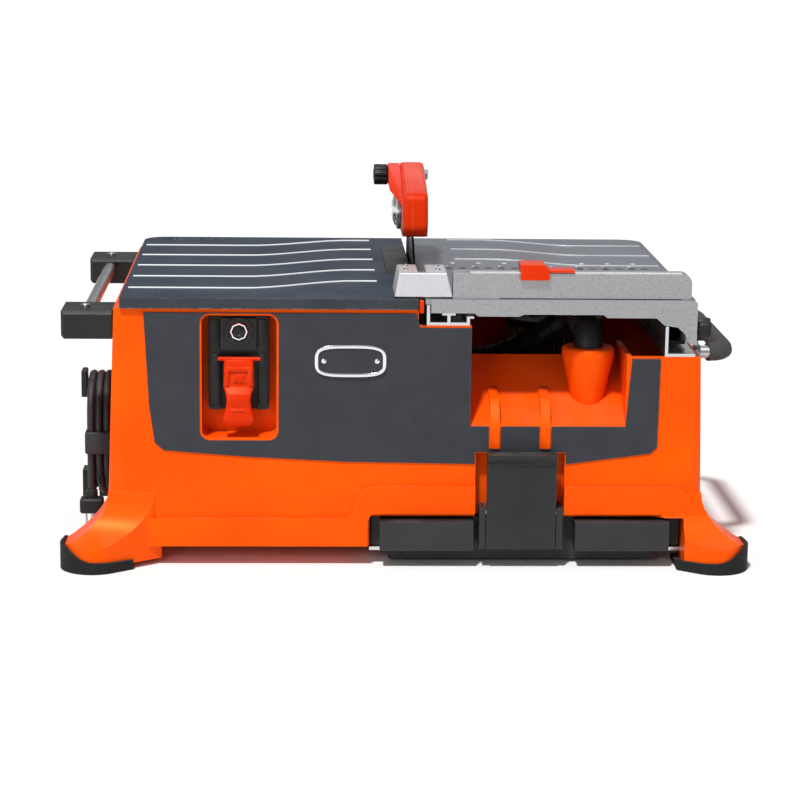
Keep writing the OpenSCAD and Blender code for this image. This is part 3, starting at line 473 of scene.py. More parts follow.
def bar(bm, low, high, ease=0.0, segments=2):
    """A block between two corners, with eased edges."""
    low, high = Vector(low), Vector(high)
    made = bmesh.ops.create_cube(bm, size=1)["verts"]
    bmesh.ops.scale(bm, vec=high - low, verts=made)
    bmesh.ops.translate(bm, vec=(low + high) / 2, verts=made)
    if ease:
        edges = list({edge for vert in made for edge in vert.link_edges})
        bmesh.ops.bevel(bm, geom=edges, offset=ease, offset_type="OFFSET", segments=segments, profile=0.5,
                        affect="EDGES", material=-1, clamp_overlap=True)


def lobed(centre, axis, radius, lobes, depth, length, ease, steps=96):
    """Starts a bmesh with a knob: a disc whose rim swells in and out, pulled along the axis, its rims eased."""
    bm = bmesh.new()
    made = bmesh.ops.create_circle(bm, cap_ends=True, radius=radius, segments=steps)["verts"]
    for vert in made:
        angle = math.atan2(vert.co.y, vert.co.x)
        vert.co *= 1 - depth * (0.5 - 0.5 * math.cos(lobes * angle)) ** 2
    pulled = bmesh.ops.extrude_face_region(bm, geom=bm.faces[:])["geom"]
    top = [item for item in pulled if isinstance(item, bmesh.types.BMVert)]
    bmesh.ops.translate(bm, vec=(0, 0, length), verts=top)
    rims = [edge for edge in bm.edges if abs(edge.verts[0].co.z - edge.verts[1].co.z) < 1e-9]
    bmesh.ops.bevel(bm, geom=rims, offset=ease, segments=3, profile=0.5, affect="EDGES", material=-1)
    stand(bm, centre, axis)
    return bm


def piece(bm, name, body, material, stands_for=(), smooth=35, merge=True):
    """Closes a bmesh into a named piece that rides on a body, wears a material and may replace nodes."""
    if merge:
        bmesh.ops.remove_doubles(bm, verts=bm.verts, dist=1e-6)
        bmesh.ops.recalc_face_normals(bm, faces=bm.faces)
    mesh = bpy.data.meshes.new(name)
    bm.to_mesh(mesh)
    bm.free()
    mesh.polygons.foreach_set("use_smooth", [True] * len(mesh.polygons))
    mesh.set_sharp_from_angle(angle=math.radians(smooth))
    mesh.materials.append(material)
    made = bpy.data.objects.new(name, mesh)
    bpy.context.scene.collection.objects.link(made)
    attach(made, body)
    if stands_for:
        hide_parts(*stands_for)
    return made


def meshed(sketch):
    """Turns a curve or text object into a mesh and removes the object."""
    mesh = bpy.data.meshes.new_from_object(sketch)
    bpy.data.objects.remove(sketch)
    return mesh


def add_turned_bar(bm, low, high, ease, segments, matrix):
    """Adds a bar that is built around the origin, then turned and moved by matrix."""
    slat = bmesh.new()
    bar(slat, low, high, ease, segments)
    bmesh.ops.transform(slat, matrix=matrix, verts=slat.verts)
    sketch = bpy.data.meshes.new("bar_sketch")
    slat.to_mesh(sketch)
    slat.free()
    bm.from_mesh(sketch)
    bpy.data.meshes.remove(sketch)


print("helpers: turned, stand, bar, lobed, piece, meshed, add_turned_bar")

# %% [markdown]
# CAD edges are knife sharp, and nothing moulded or cast is. Where a node's shape is right, its mesh is
# copied, its loose triangles are merged and its flat faces joined, and a Bevel modifier rounds the
# edges. The frame's own mesh stays untouched underneath for collision.

# %% Rounded copies of frame nodes
def body_with(node):
    return next(name for name, empty in frame["bodies"].items() if frame["nodes"][node].parent == empty)


def rounded(node, material, slot, width, segments=2, angle=28, clamp=True):
    bm = bmesh.new()
    bm.from_mesh(frame["nodes"][node].data)
    bmesh.ops.remove_doubles(bm, verts=bm.verts, dist=2e-6)
    bmesh.ops.dissolve_limit(bm, angle_limit=math.radians(0.6), verts=bm.verts, edges=bm.edges)
    made = piece(bm, f"{node}_shaped", body_with(node), material, [node], smooth=angle, merge=False)
    bevel = made.modifiers.new("eased_edges", "BEVEL")
    bevel.width, bevel.segments, bevel.limit_method = width, segments, "ANGLE"
    bevel.angle_limit = math.radians(angle)
    bevel.use_clamp_overlap = clamp
    bevel.harden_normals = True
    bevel.miter_outer = "MITER_ARC"
    return made


ROUNDED = (
    # node, material, slot, width
    ("base_shell", shell_orange, "shell_plastic", 0.0018),
    ("left_table", table_blue, "table_paint", 0.0008),
    ("sliding_table", slide_grey, "cast_alloy", 0.0008),
    ("fence", cast_alloy, "cast_alloy", 0.0011),
    ("fence_end_block", end_alloy, "bright_alloy", 0.0012),
    ("fence_stop", guard_red, "red_plastic", 0.0007),
    ("handle_bracket_front", satin_black, "black_plastic", 0.002),
    ("handle_bracket_rear", satin_black, "black_plastic", 0.002),
    ("slide_bracket", satin_black, "black_plastic", 0.0008),
    ("cord_hooks", satin_black, "black_plastic", 0.0014),
    ("cyclone_cone", shell_orange, "shell_plastic", 0.0006),
    ("dust_tray", tray_black, "black_plastic", 0.0014),
    ("tray_latch", latch_charcoal, "panel_plastic", 0.0024),
    ("switch_box", satin_black, "black_plastic", 0.0012),
    ("guard_left", guard_red, "red_plastic", 0.0012),
    ("guard_right", guard_red, "red_plastic", 0.0012),
    ("foot_front_left", foot_rubber, "foot_rubber", 0.0015),
    ("foot_front_right", foot_rubber, "foot_rubber", 0.0015),
    ("foot_rear_left", foot_rubber, "foot_rubber", 0.0015),
    ("foot_rear_right", foot_rubber, "foot_rubber", 0.0015),
)
for node, material, slot, width in ROUNDED:
    rounded(node, material, slot, width)
print(len(ROUNDED), "nodes rounded")

# %% [markdown]
# Nodes that stay as the CAD drew them take their finish in the node's own material slot.

# %% Finishes for the frame's own nodes
KEPT = {
    panel_slate: ("front_panel",),
    satin_black: ("throat_insert", "blade_shroud", "fan_housing"),
    rail_alloy: ("rail_left", "rail_right", "tray_runners"),
    natural_nylon: ("glide_blocks", "fan_impeller"),
    scale_white: ("fence_scale",),
    bar_steel: ("handle_bar", "right_handle_tube"),
    handle_foam: ("right_handle_grip",),
    belt_black: ("drive_belt",),
    hidden_alloy: ("motor_housing", "arbor_housing"),
    bright_steel: ("motor_shaft", "motor_pulley", "arbor_bearings", "arbor_shaft", "arbor_pulley", "blade_flanges",
                   "arbor_nut", "latch_pin"),
    dark_steel: ("riving_knife",),
}


def dress(node, material):
    mesh = frame["nodes"][node].data
    mesh.materials.clear()
    mesh.materials.append(material)


for material, nodes in KEPT.items():
    for node in nodes:
        dress(node, material)
print("dressed", sum(len(nodes) for nodes in KEPT.values()), "frame nodes")

# %% [markdown]
# The mains lead is 1.8 m of 8 mm rubber cable, wound on two hooks at the left side. It leaves a gland
# upwards and goes round six times, three turns side by side and two deep, then hangs down into its
# plug. The route is worked out turn by turn on a stadium shape, and it changes layer only under the
# lower hook, where the real lead crosses over too.

# %% Mains lead
LEAD = 0.008
HANK_Y, HANK_LOW, HANK_HIGH = -0.060, 0.082, 0.122
OUTER, INNER = 0.041, 0.0325
NEAR, MIDDLE, FAR = -0.302, -0.310, -0.318
TURNS = ((MIDDLE, OUTER), (NEAR, OUTER), (NEAR, INNER), (MIDDLE, INNER), (FAR, INNER), (FAR, OUTER))
EXIT = Vector((-0.3095, HANK_Y + OUTER, 0.047))
ARC_STEPS, RUN_STEPS = 10, 4


def on_hank(x, radius, angle):
    """A point on the winding: angle 0 is behind, 90 on top, 180 in front and 270 below."""
    rise = HANK_HIGH if 0 < angle < 180 else HANK_LOW
    turn = math.radians(angle)
    return Vector((x, HANK_Y + radius * math.cos(turn), rise + radius * math.sin(turn)))


def run(start, end):
    return [start.lerp(end, (i + 1) / RUN_STEPS) for i in range(RUN_STEPS)]


route = [EXIT, EXIT + Vector((-0.0001, 0, 0.012)), EXIT + Vector((-0.0003, 0, 0.024))]
for turn, (x, radius) in enumerate(TURNS):
    route.append(on_hank(x, radius, 0))
    route += run(route[-1], Vector((x, HANK_Y + radius, HANK_HIGH)))
    route += [on_hank(x, radius, 180 * (i + 1) / ARC_STEPS - 0.001) for i in range(ARC_STEPS)]
    if turn + 1 < len(TURNS):
        next_x, next_radius = TURNS[turn + 1]
        route += run(route[-1], Vector((x, HANK_Y - radius, HANK_LOW)))
        for i in range(ARC_STEPS - 1):
            share = (i + 1) / ARC_STEPS
            ease = share * share * (3 - 2 * share)
            route.append(on_hank(x + (next_x - x) * ease, radius + (next_radius - radius) * ease, 180 + 180 * share))
PLUG_TOP = Vector((FAR, HANK_Y - OUTER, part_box("plug")[1][2]))
route += run(route[-1], PLUG_TOP - Vector((0, 0, 0.002)))

def tube(name, places, swells, radius, resolution):
    """A round tube along a row of points; swells scale its radius from point to point."""
    line = bpy.data.curves.new(name, "CURVE")
    line.dimensions, line.bevel_depth, line.bevel_resolution = "3D", radius, resolution
    line.use_fill_caps = True
    spline = line.splines.new("POLY")
    spline.points.add(len(places) - 1)
    for point, place, swell in zip(spline.points, places, swells):
        point.co, point.radius = (*place, 1), swell
    made = bpy.data.objects.new(name, line)
    bpy.context.scene.collection.objects.link(made)
    return made


mains_lead = tube("mains_lead", route, [1.0] * len(route), LEAD / 2, 3)
mains_lead.data.materials.append(lead_rubber)
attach(mains_lead, "base")
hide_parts("cord_lead", "cord_hank")
lead_length = sum((b - a).length for a, b in zip(route, route[1:]))
print("lead:", len(route), "points,", round(lead_length, 3), "m")

# %% [markdown]
# What belongs to the lead: a ribbed strain relief that tapers up from the gland, a moulded plug with
# two flat blades and a round earth pin, and a hook-and-loop strap round the front run.

# %% Gland, plug and strap
bm = bmesh.new()
ribs = [(0, 0), (0, 0.0085), (0.003, 0.0085)]
for i in range(5):
    at = 0.004 + i * 0.0026
    radius = 0.0078 - i * 0.00055
    ribs += [(at, radius - 0.0011), (at + 0.0008, radius), (at + 0.0018, radius)]
ribs += [(0.017, 0.0046), (0.017, 0.0041), (0.009, 0.0041)]
turned(bm, ribs, (EXIT.x, EXIT.y, 0.030), (0, 0, 1))
GLAND_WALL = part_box("cord_gland")[1][0]
bar(bm, (-0.3165, HANK_Y + 0.031, 0.0245), (GLAND_WALL, HANK_Y + 0.051, 0.0325), 0.0015)
bar(bm, (-0.303, HANK_Y + 0.032, 0.030), (GLAND_WALL, HANK_Y + 0.050, 0.0375), 0.0015)
piece(bm, "lead_gland", "base", satin_black, ["cord_gland"])

bm = bmesh.new()
boot = [(0, 0.0043), (0, 0.0052)]
for i in range(4):
    at = 0.001 + i * 0.0022
    boot += [(at, 0.0053 + i * 0.0003), (at + 0.0006, 0.0062), (at + 0.0015, 0.0062), (at + 0.0019, 0.0052)]
boot += [(0.011, 0.0062), (0.012, 0.0043)]
turned(bm, boot, PLUG_TOP, (0, 0, -1), 32)
bar(bm, PLUG_TOP + Vector((-0.012, -0.009, -0.025)), PLUG_TOP + Vector((0.012, 0.009, -0.009)), 0.003, 3)
for x in (-0.0065, 0.005):
    bar(bm, PLUG_TOP + Vector((x, -0.003, -0.0388)), PLUG_TOP + Vector((x + 0.0015, 0.003, -0.0245)), 0.0003, 1)
turned(bm, [(0.0245, 0), (0.0245, 0.0021), (0.0375, 0.0021), (0.0388, 0.0012), (0.0388, 0)],
       PLUG_TOP + Vector((0, 0.0062, 0)), (0, 0, -1), 20)
plug = piece(bm, "mains_plug", "base", satin_black, ["plug"])
plug.data.materials.append(bright_steel)
for face in plug.data.polygons:
    if face.center.z < PLUG_TOP.z - 0.0252:
        face.material_index = 1

bm = bmesh.new()
strap_low, strap_high = corners("cord_strap")
bar(bm, strap_low, strap_high, 0.0028, 3)
caps = [face for face in bm.faces if abs(face.normal.z) > 0.9]
bmesh.ops.delete(bm, geom=caps, context="FACES")
strap = piece(bm, "lead_strap", "base", panel_slate, ["cord_strap"])
web = strap.modifiers.new("web", "SOLIDIFY")
web.thickness, web.offset = 0.0012, -1
print("plug top at z", round(PLUG_TOP.z, 4))

# %% [markdown]
# A blank badge sits on the front panel: a dark plate in a bright oval rim, held by two rivets. The
# oval is a circle whose points are pushed outwards by a superellipse, fuller at its corners than an
# ellipse, then inset for the rim.

# %% Front badge
def oval(half_width, half_height, fullness=3.6, steps=96):
    """Starts a bmesh with one flat superellipse face."""
    bm = bmesh.new()
    for vert in bmesh.ops.create_circle(bm, cap_ends=True, radius=1, segments=steps)["verts"]:
        swell = (abs(vert.co.x) ** fullness + abs(vert.co.y) ** fullness) ** (-1 / fullness)
        vert.co = Vector((vert.co.x * swell * half_width, vert.co.y * swell * half_height, 0))
    return bm


def pull(bm, depth):
    """Pulls every face of a flat bmesh along Z into a solid."""
    pulled = bmesh.ops.extrude_face_region(bm, geom=bm.faces[:])["geom"]
    bmesh.ops.translate(bm, vec=(0, 0, depth), verts=[v for v in pulled if isinstance(v, bmesh.types.BMVert)])


badge_low, badge_high = corners("badge_plate")
badge_centre = (badge_low + badge_high) / 2
badge_centre.y = badge_high.y
half_width, half_height = (badge_high.x - badge_low.x) / 2, (badge_high.z - badge_low.z) / 2
bm = oval(half_width - 0.0005, half_height - 0.0005)
pull(bm, 0.0012)
stand(bm, badge_centre, (0, -1, 0))
piece(bm, "badge_face", "base", panel_slate, ["badge_plate"])

bm = oval(half_width, half_height)
bmesh.ops.inset_region(bm, faces=bm.faces[:], thickness=0.0036, use_even_offset=True, use_boundary=True)
bmesh.ops.delete(bm, geom=[face for face in bm.faces if len(face.verts) > 4], context="FACES")
pull(bm, 0.0024)
rims = [edge for edge in bm.edges if edge.verts[0].co.z > 0.002 and edge.verts[1].co.z > 0.002
        and edge.calc_face_angle(0) > 1]
bmesh.ops.bevel(bm, geom=rims, offset=0.0008, segments=3, profile=0.5, affect="EDGES", material=-1)
stand(bm, badge_centre, (0, -1, 0))
for x in (-0.026, 0.026):
    turned(bm, [(0.0011, 0.0026), (0.0019, 0.0024), (0.0024, 0.0015), (0.0026, 0)],
           badge_centre + Vector((x, 0, 0)), (0, -1, 0), 24)
piece(bm, "badge_rim", "base", badge_chrome)
print("badge", round(2000 * half_width), "by", round(2000 * half_height), "mm")

# %% [markdown]
# The hood carries a domed alloy disc on its left and is clamped by a fluted knob on its pivot bolt.
# Disc, bolt and nut are turned; six spin steps make the nut's hexagon.

# %% Guard disc and knob
disc_low, disc_high = corners("guard_disc")
disc_centre = Vector((disc_high.x, (disc_low.y + disc_high.y) / 2, (disc_low.z + disc_high.z) / 2))
disc_radius = (disc_high.y - disc_low.y) / 2
bm = bmesh.new()
turned(bm, [(0.0005, 0), (0.0005, disc_radius), (0.003, disc_radius), (0.0042, disc_radius - 0.001),
            (0.0046, disc_radius - 0.003), (0.0066, disc_radius - 0.0055), (0.0084, disc_radius - 0.0095),
            (0.0088, disc_radius - 0.0115), (0.0076, disc_radius - 0.0125), (0.0074, 0.004), (0.0086, 0.0032),
            (0.009, 0.0016), (0.009, 0)], disc_centre, (-1, 0, 0), 64)
piece(bm, "guard_disc_domed", "guard", badge_chrome, ["guard_disc"])

knob_low, knob_high = corners("guard_knob")
pivot = Vector((0, (knob_low.y + knob_high.y) / 2, (knob_low.z + knob_high.z) / 2))
KNOB_X = -0.0123
knob_length = KNOB_X - knob_low.x
knob_foot = (KNOB_X, pivot.y, pivot.z)
bm = lobed(knob_foot, (-1, 0, 0), 0.011, 9, 0.1, knob_length, 0.0014)
turned(bm, [(knob_length, 0.006), (knob_length + 0.0006, 0.005), (knob_length + 0.0006, 0)], knob_foot,
       (-1, 0, 0), 32)
piece(bm, "guard_knob_fluted", "guard_clamp", satin_black, ["guard_knob"])

bm = bmesh.new()
turned(bm, [(0, 0), (0, 0.003), (0.042, 0.003), (0.042, 0)], (-0.0125, pivot.y, pivot.z), (1, 0, 0), 24)
turned(bm, [(0, 0.003), (0, 0.006), (0.004, 0.006), (0.0047, 0.005), (0.0047, 0.003)],
       (knob_high.x - 0.0047, pivot.y, pivot.z), (1, 0, 0), 6)
piece(bm, "guard_bolt", "guard_clamp", bright_steel, smooth=25)
print("guard pivot at", [round(c, 3) for c in pivot])

# %% [markdown]
# The blade is a thin steel core with a thicker rim in segments, parted by narrow slots that cool it.
# Each segment is part of a turn, and its open ends are filled afterwards.

# %% Blade
blade_low, blade_high = corners("blade")
hub = (blade_low + blade_high) / 2
blade_radius, half_rim = (blade_high.y - blade_low.y) / 2, (blade_high.x - blade_low.x) / 2
SEGMENTS = 24
bm = bmesh.new()
turned(bm, [(-0.0008, 0.008), (-0.0008, 0.0835), (0.0008, 0.0835), (0.0008, 0.008), (-0.0008, 0.008)],
       hub, (1, 0, 0), 96)
for i in range(SEGMENTS):
    turned(bm, [(-half_rim, 0.0815), (-half_rim, blade_radius), (half_rim, blade_radius), (half_rim, 0.0815),
                (-half_rim, 0.0815)], hub, (1, 0, 0), 5, math.radians(360 / SEGMENTS - 1.6),
           math.radians(360 / SEGMENTS * i))
bmesh.ops.remove_doubles(bm, verts=bm.verts, dist=1e-6)
bmesh.ops.holes_fill(bm, edges=[edge for edge in bm.edges if edge.is_boundary], sides=4)
piece(bm, "blade_segmented", "arbor", dark_steel, ["blade"])
print("blade", round(2000 * blade_radius), "mm,", SEGMENTS, "segments")

# %% [markdown]
# A corrugated hose carries the dust from the cyclone to the blade's shroud. A curve gives the path,
# and its radius goes up and down from one point to the next, which bevels into rings. The elbow over
# the cone is smooth, as a moulded cuff is.

# %% Dust hose
cone_low, cone_high = corners("cyclone_cone")
cone_x, cone_y = (cone_low.x + cone_high.x) / 2, (cone_low.y + cone_high.y) / 2
HOSE_Z, HOSE_RADIUS, ELBOW = 0.2295, 0.0145, 0.016
way = [Vector((cone_x, cone_y, cone_high.z - 0.003))]
way += [Vector((cone_x, cone_y + ELBOW * (1 - math.cos(math.radians(a))),
                HOSE_Z - ELBOW + ELBOW * math.sin(math.radians(a)))) for a in range(0, 91, 15)]
way += [Vector(point) * MM for point in (
    (181, -90, 229.5), (181, -75, 229.5), (180, -58, 228), (176, -40, 222), (168, -22, 211), (155, -2, 197),
    (137, 14, 182), (114, 25, 169), (88, 30, 161.5), (64, 30, 160), (34, 30, 160))]
CUFF_POINTS, PITCH_OF_RINGS = 8, 0.0021
path = [(point, 1.0) for point in way[:CUFF_POINTS]]
for start, end in zip(way[CUFF_POINTS - 1:], way[CUFF_POINTS:]):
    count = max(1, round((end - start).length / PITCH_OF_RINGS))
    path += [(start.lerp(end, (i + 1) / count), 1.0 if len(path) + i & 1 else 0.86) for i in range(count)]
bm = bmesh.new()
bm.from_mesh(meshed(tube("dust_hose_sketch", *zip(*path), HOSE_RADIUS, 5)))
piece(bm, "dust_hose_ringed", "base", satin_black, ["dust_hose"], smooth=50)
print("hose rings:", len(path))

# %% [markdown]
# Inside the right chamber stands a pleated paper filter between two black end rings. The pleats are
# the same lobed disc as a knob, with many narrow lobes.

# %% Pleated filter
filter_low, filter_high = corners("filter_cartridge")
foot_of_filter = Vector(((filter_low.x + filter_high.x) / 2, (filter_low.y + filter_high.y) / 2, filter_low.z))
filter_radius = (filter_high.x - filter_low.x) / 2
bm = lobed(foot_of_filter + Vector((0, 0, 0.005)), (0, 0, 1), filter_radius - 0.002, 60, 0.13,
           filter_high.z - filter_low.z - 0.01, 0.0003, 480)
# The paper's dark grey-brown is partly dust and partly painted shade of the chamber it stands in.
paper = moulded("filter_paper", (0.26, 0.24, 0.2), (0.2, 0.18, 0.15), (0.35, 0.33, 0.3), (0.85, 0.95),
                grain_scale=1600, dust_share=0.4)
piece(bm, "filter_pleats", "base", paper, ["filter_cartridge"], smooth=25)
bm = bmesh.new()
for z in (0, filter_high.z - filter_low.z - 0.007):
    turned(bm, [(0, 0.03), (0, filter_radius), (0.005, filter_radius), (0.007, filter_radius - 0.002),
                (0.007, 0.03), (0, 0.03)], foot_of_filter + Vector((0, 0, z)), (0, 0, 1), 64)
piece(bm, "filter_rings", "base", satin_black)

# %% [markdown]
# The stop switch: a red paddle hinged over the start button, in a black housing, with a reset button
# in a bright collar above it. The paddle is lofted through levels: a tab, a window, a knee that sticks
# out under it, a finger scoop and a lip with cut corners.

# %% Stop switch
paddle_low, paddle_high = corners("switch_paddle")
PADDLE_X, PADDLE_BACK, EASE = -0.165, -0.1955, 0.0018
# height, how far the face comes forward, half the width: tab, window, knee, scoop, lip
PADDLE_LEVELS = ((0.2055, -0.1990, 0.0130), (0.2045, -0.2010, 0.0142), (0.1965, -0.2030, 0.0146),
                 (0.1790, -0.2030, 0.0150), (0.1725, -0.2092, 0.0126), (0.1670, -0.2104, 0.0116),
                 (0.1590, -0.2082, 0.0124), (0.1480, -0.2104, 0.0156), (0.1440, -0.2094, 0.0150),
                 (0.1395, -0.2040, 0.0106))
bm = bmesh.new()
rows = []
for z, y, half in PADDLE_LEVELS:
    outline = ((-half, PADDLE_BACK), (-half, y + EASE), (-half + EASE, y), (half - EASE, y), (half, y + EASE),
               (half, PADDLE_BACK))
    rows.append([bm.verts.new((PADDLE_X + across, forward, z)) for across, forward in outline])
for above, under in zip(rows, rows[1:]):
    for i in range(6):
        bm.faces.new((above[i], above[(i + 1) % 6], under[(i + 1) % 6], under[i]))
bm.faces.new(rows[0])
bm.faces.new(rows[-1][::-1])
bmesh.ops.recalc_face_normals(bm, faces=bm.faces)
bmesh.ops.bevel(bm, geom=[edge for edge in bm.edges if edge.calc_face_angle(0) > 0.45], offset=0.0007, segments=2,
                profile=0.5, affect="EDGES", material=-1)
for x in (PADDLE_X - 0.0132, PADDLE_X + 0.0094):
    bar(bm, (x, -0.2052, 0.180), (x + 0.0038, -0.202, 0.1965), 0.0009)
bar(bm, (PADDLE_X - 0.0125, -0.205, 0.1945), (PADDLE_X + 0.0125, -0.2015, 0.198), 0.0009)
bar(bm, (PADDLE_X - 0.0055, -0.2045, 0.1835), (PADDLE_X + 0.0055, -0.202, 0.1915), 0.0009)
bar(bm, (PADDLE_X - 0.007, -0.2102, 0.1555), (PADDLE_X + 0.007, -0.2075, 0.1575), 0.0006)
turned(bm, [(0, 0), (0, 0.002), (0.0430, 0.002), (0.0430, 0)],
       (paddle_low.x, PADDLE_BACK + 0.001, paddle_high.z - 0.004), (1, 0, 0), 20)
piece(bm, "paddle_shaped", "paddle", guard_red, ["switch_paddle"])

button_low, button_high = corners("breaker_button")
button = Vector(((button_low.x + button_high.x) / 2, button_high.y, (button_low.z + button_high.z) / 2))
reach = button_high.y - button_low.y
bm = bmesh.new()
turned(bm, [(0, 0), (0, 0.0058), (reach - 0.0015, 0.0058), (reach - 0.0004, 0.005), (reach, 0.0036),
            (reach - 0.0006, 0.0028), (reach - 0.0006, 0)], button, (0, -1, 0))
piece(bm, "reset_button", "breaker", satin_black, ["breaker_button"])
PLATE_Y = -0.193
bm = bmesh.new()
turned(bm, [(0, 0.0066), (0, 0.0092), (0.0022, 0.0092), (0.003, 0.0084), (0.003, 0.0072), (0.0022, 0.0064),
            (0, 0.0066)], (button.x, PLATE_Y, button.z), (0, -1, 0), 8)
piece(bm, "reset_collar", "base", badge_chrome, smooth=20)
bm = bmesh.new()
turned(bm, [(0, 0.0095), (0, 0.0142), (0.0008, 0.0142), (0.0012, 0.0138), (0.0012, 0.0099), (0, 0.0095)],
       (button.x, PLATE_Y, button.z), (0, -1, 0), 48)
for x in (-0.194, -0.1465):
    bar(bm, (x, -0.1895, 0.158), (x + 0.0105, -0.1865, 0.2435), 0.0012)
piece(bm, "switch_trim", "base", satin_black)
print("switch: paddle, button, collar and trim")

# %% [markdown]
# Marks: each slot of the sliding table has a number, a dot and a screw hole drawn as a black disc of painted shade,
# and the fence a ruled strip.
# Numbers are text turned into a mesh at once, then placed; ticks are thin bars at an eighth of the
# slots' spacing, longer at every fourth.

# %% Table numbers and fence ticks
SLOT_STEP, FIRST_SLOT = 0.0275, 0.051
ink_white = moulded("ink_white", (0.8, 0.81, 0.82), (0.7, 0.71, 0.73), (0.85, 0.85, 0.85), (0.4, 0.55), dust_share=0.2)
# This black is ink on the fence's ticks, and painted shade in the screw holes and along the fence's foot.
ink_and_shade_black = moulded("ink_and_shade_black", (0.012, 0.012, 0.013), (0.02, 0.02, 0.021), (0.06, 0.06, 0.06), (0.4, 0.55))


def numeral(bm, text, size, place):
    """Adds a number, lying flat, to a bmesh."""
    letters = bpy.data.curves.new("numeral", "FONT")
    letters.body, letters.size, letters.align_x, letters.extrude = text, size, "CENTER", 0.00008
    sketch = bpy.data.objects.new("numeral_sketch", letters)
    bpy.context.scene.collection.objects.link(sketch)
    mesh = meshed(sketch)
    mesh.transform(Matrix.Translation(place))
    bm.from_mesh(mesh)


# The screw holes are flat black discs: painted shade for their shaded insides.
marks, holes = bmesh.new(), bmesh.new()
for i in range(8):
    x = FIRST_SLOT + SLOT_STEP * i
    numeral(marks, str(i + 1), 0.008, Vector((x - 0.002, -0.0022, TABLE_TOP + 0.0002)))
    turned(marks, [(0, 0.0026), (0.00015, 0.0024), (0.00015, 0)], (x + 0.0055, 0.0235, TABLE_TOP), (0, 0, 1), 20)
    turned(holes, [(0, 0.0042), (0.00025, 0.0038), (0.0001, 0.0026), (0.0001, 0)],
           (x + SLOT_STEP / 2, -0.012, TABLE_TOP), (0, 0, 1), 24)
piece(marks, "table_numbers", "table", ink_white)
piece(holes, "table_screw_hole_shades", "table", ink_and_shade_black)

scale_low, scale_high = corners("fence_scale")
bm = bmesh.new()
TICKS = int((scale_high.x - scale_low.x - 0.004) / (SLOT_STEP / 8))
for i in range(TICKS):
    x = scale_low.x + 0.003 + i * SLOT_STEP / 8
    length = 0.0042 if i % 8 == 0 else 0.0032 if i % 4 == 0 else 0.0021
    width = 0.0007 if i % 8 == 0 else 0.0005
    bar(bm, (x - width / 2, scale_low.y + 0.0003, scale_high.z - 0.0001),
        (x + width / 2, scale_low.y + 0.0003 + length, scale_high.z + 0.0001))
piece(bm, "fence_ticks", "table", ink_and_shade_black)
print("8 slots numbered,", TICKS, "ticks on the fence")

# %% [markdown]
# The fence stands on the table by a slim foot, drawn as a black strip of painted shade along its base, and four screws
# hold the end block. The handles get socket screws and flanges. A small red tab under the end block marks the cut.

# %% Screws, flanges and the lock knob's cap
def socket_screw(bm, place, axis, radius=0.0045, height=0.003):
    """Adds the head of a socket cap screw that looks along axis."""
    turned(bm, [(0, 0), (0, radius), (height * 0.7, radius), (height, radius * 0.82), (height, radius * 0.5),
                (height * 0.4, radius * 0.45), (height * 0.4, 0)], place, axis, 30)


bm = bmesh.new()
for y in (-0.175, 0.165):
    turned(bm, [(0, 0), (0, 0.00245), (0.008, 0.00245), (0.008, 0)], (-0.315, y, 0.245), (0, 0, 1), 20)
    socket_screw(bm, (-0.315, y, 0.253), (0, 0, 1))
piece(bm, "bracket_screws", "base", bright_steel, ["handle_screws"])

bm = bmesh.new()
for y in (-0.186, -0.160):
    socket_screw(bm, (-0.002, y, 0.293), (0, 0, 1), 0.003, 0.0012)
    socket_screw(bm, (0.029, y, 0.293), (0, 0, 1), 0.003, 0.0012)
piece(bm, "end_block_screws", "table", bright_steel)

bm = bmesh.new()
tube_low, tube_high = corners("right_handle_tube")
GRIP_Z = (tube_low.z + tube_high.z) / 2
for y in (-0.150, 0.060):
    turned(bm, [(0, 0.0066), (0, 0.0135), (0.0024, 0.0135), (0.0036, 0.012), (0.0042, 0.0085), (0.006, 0.0066)],
           (tube_low.x, y, GRIP_Z), (1, 0, 0.038), 40)
piece(bm, "handle_flanges", "base", bright_steel)

lock_low, lock_high = corners("table_lock_knob")
LOCK_Y, LOCK_Z, STEM = -0.190, 0.236, 0.016
bm = lobed((lock_low.x + STEM, LOCK_Y, LOCK_Z), (1, 0, 0), 0.0115, 6, 0.16, lock_high.x - lock_low.x - STEM, 0.0016)
turned(bm, [(0, 0), (0, 0.003), (0.018, 0.003)], (lock_low.x, LOCK_Y, LOCK_Z), (1, 0, 0), 24)
turned(bm, [(0, 0.0062), (0.0006, 0.0058), (0.0009, 0)], (lock_high.x, LOCK_Y, LOCK_Z), (1, 0, 0), 32)
piece(bm, "lock_knob_lobed", "lock_knob", satin_black, ["table_lock_knob"])

# Painted shade: a black strip along the fence's foot where it meets the table.
FENCE_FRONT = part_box("fence")[0][1]
bm = bmesh.new()
bar(bm, (0.088, FENCE_FRONT - 0.00015, TABLE_TOP - 0.0004), (0.266, FENCE_FRONT + 0.002, TABLE_TOP + 0.0008))
piece(bm, "fence_foot_painted_shade", "table", ink_and_shade_black)

bm = bmesh.new()
bar(bm, (0.0105, -0.2145, 0.2545), (0.0145, -0.2065, 0.2665), 0.0006)
piece(bm, "cut_line_tab", "base", guard_red)
print("screws, flanges, lock knob and tab")

# %% [markdown]
# Air for the motor comes in at the left through a round grille and leaves at the back through
# louvres. Both are thin fittings that stand on the walls. The grille is built flat around the origin,
# then stood on the wall, which leans by the mould's draft.

# %% Vents and back screws
DRAFT = 0.038
BACK_Y = 0.206
FIRST_SLAT, SLAT_STEP, SLAT_TILT = 0.068, 0.0115, math.radians(28)


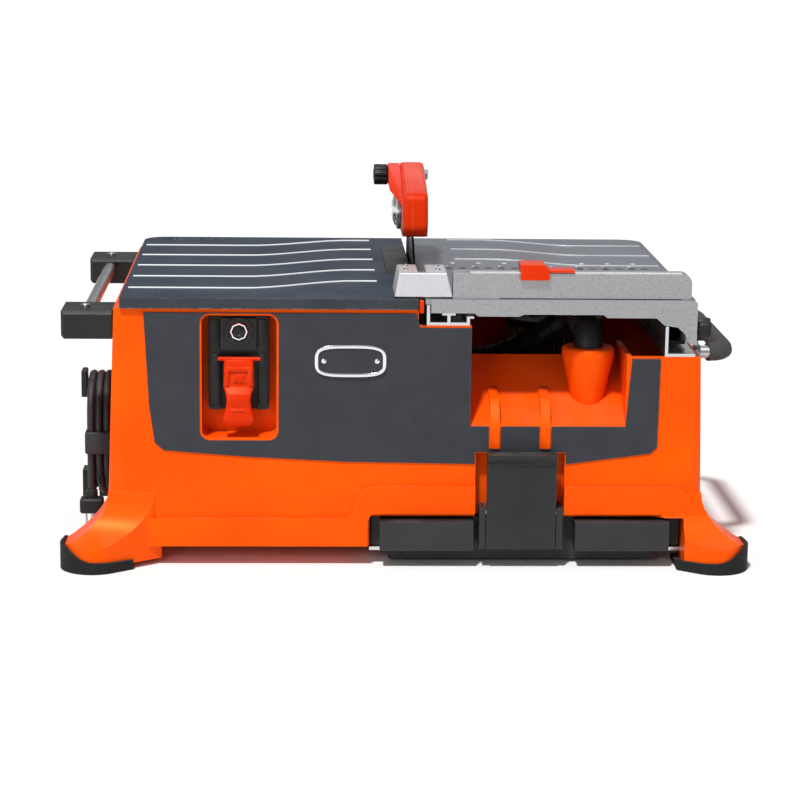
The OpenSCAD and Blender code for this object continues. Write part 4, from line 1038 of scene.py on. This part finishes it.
def wall_x(z):
    """Half the body's width at height z; the walls lean outwards from the rim towards the foot."""
    rim_half_width, rim_height = 0.286, 0.257
    return rim_half_width + (rim_height - z) * DRAFT


bm = bmesh.new()
turned(bm, [(0.0004, 0), (0.0004, 0.044), (-0.0008, 0.044)], (0, 0, 0), (0, 0, 1), 48)
for radius in (0.011, 0.018, 0.025, 0.032, 0.039):
    turned(bm, [(0.0002, radius - 0.0016), (0.0016, radius - 0.0012), (0.0016, radius + 0.0012),
                (0.0002, radius + 0.0016)], (0, 0, 0), (0, 0, 1), 56)
turned(bm, [(-0.0008, 0.0425), (0.0016, 0.0432), (0.0026, 0.045), (0.0022, 0.048), (-0.0008, 0.0495)],
       (0, 0, 0), (0, 0, 1), 64)
turned(bm, [(0.0002, 0.0075), (0.0018, 0.0065), (0.0022, 0)], (0, 0, 0), (0, 0, 1), 32)
for i in range(6):
    add_turned_bar(bm, (0.006, -0.0012, 0.0003), (0.0435, 0.0012, 0.0021), 0.0005, 1,
                   Matrix.Rotation(math.radians(60 * i + 15), 4, "Z"))
stand(bm, (-wall_x(0.112), 0.060, 0.112), (-1, 0, DRAFT))
piece(bm, "fan_grille", "base", satin_black)

bm = bmesh.new()
bar(bm, (-0.212, BACK_Y - 0.001, 0.058), (-0.078, BACK_Y + 0.0012, 0.186), 0.001)
for i in range(10):
    place = Matrix.Translation((0, BACK_Y + 0.0022, FIRST_SLAT + i * SLAT_STEP))
    add_turned_bar(bm, (-0.203, -0.0013, -0.0036), (-0.087, 0.0013, 0.0036), 0.0008, 2,
                   place @ Matrix.Rotation(SLAT_TILT, 4, "X"))
piece(bm, "back_louvres", "base", satin_black)

bm = bmesh.new()
for x, z in ((-0.262, 0.235), (0.235, 0.19), (-0.262, 0.04), (0.262, 0.04), (-0.02, 0.235), (0.0, 0.04)):
    socket_screw(bm, (x, BACK_Y - 0.0002, z), (0, 1, 0), 0.004, 0.0025)
piece(bm, "back_screws", "base", bright_steel)
print("grille, louvres and back screws")
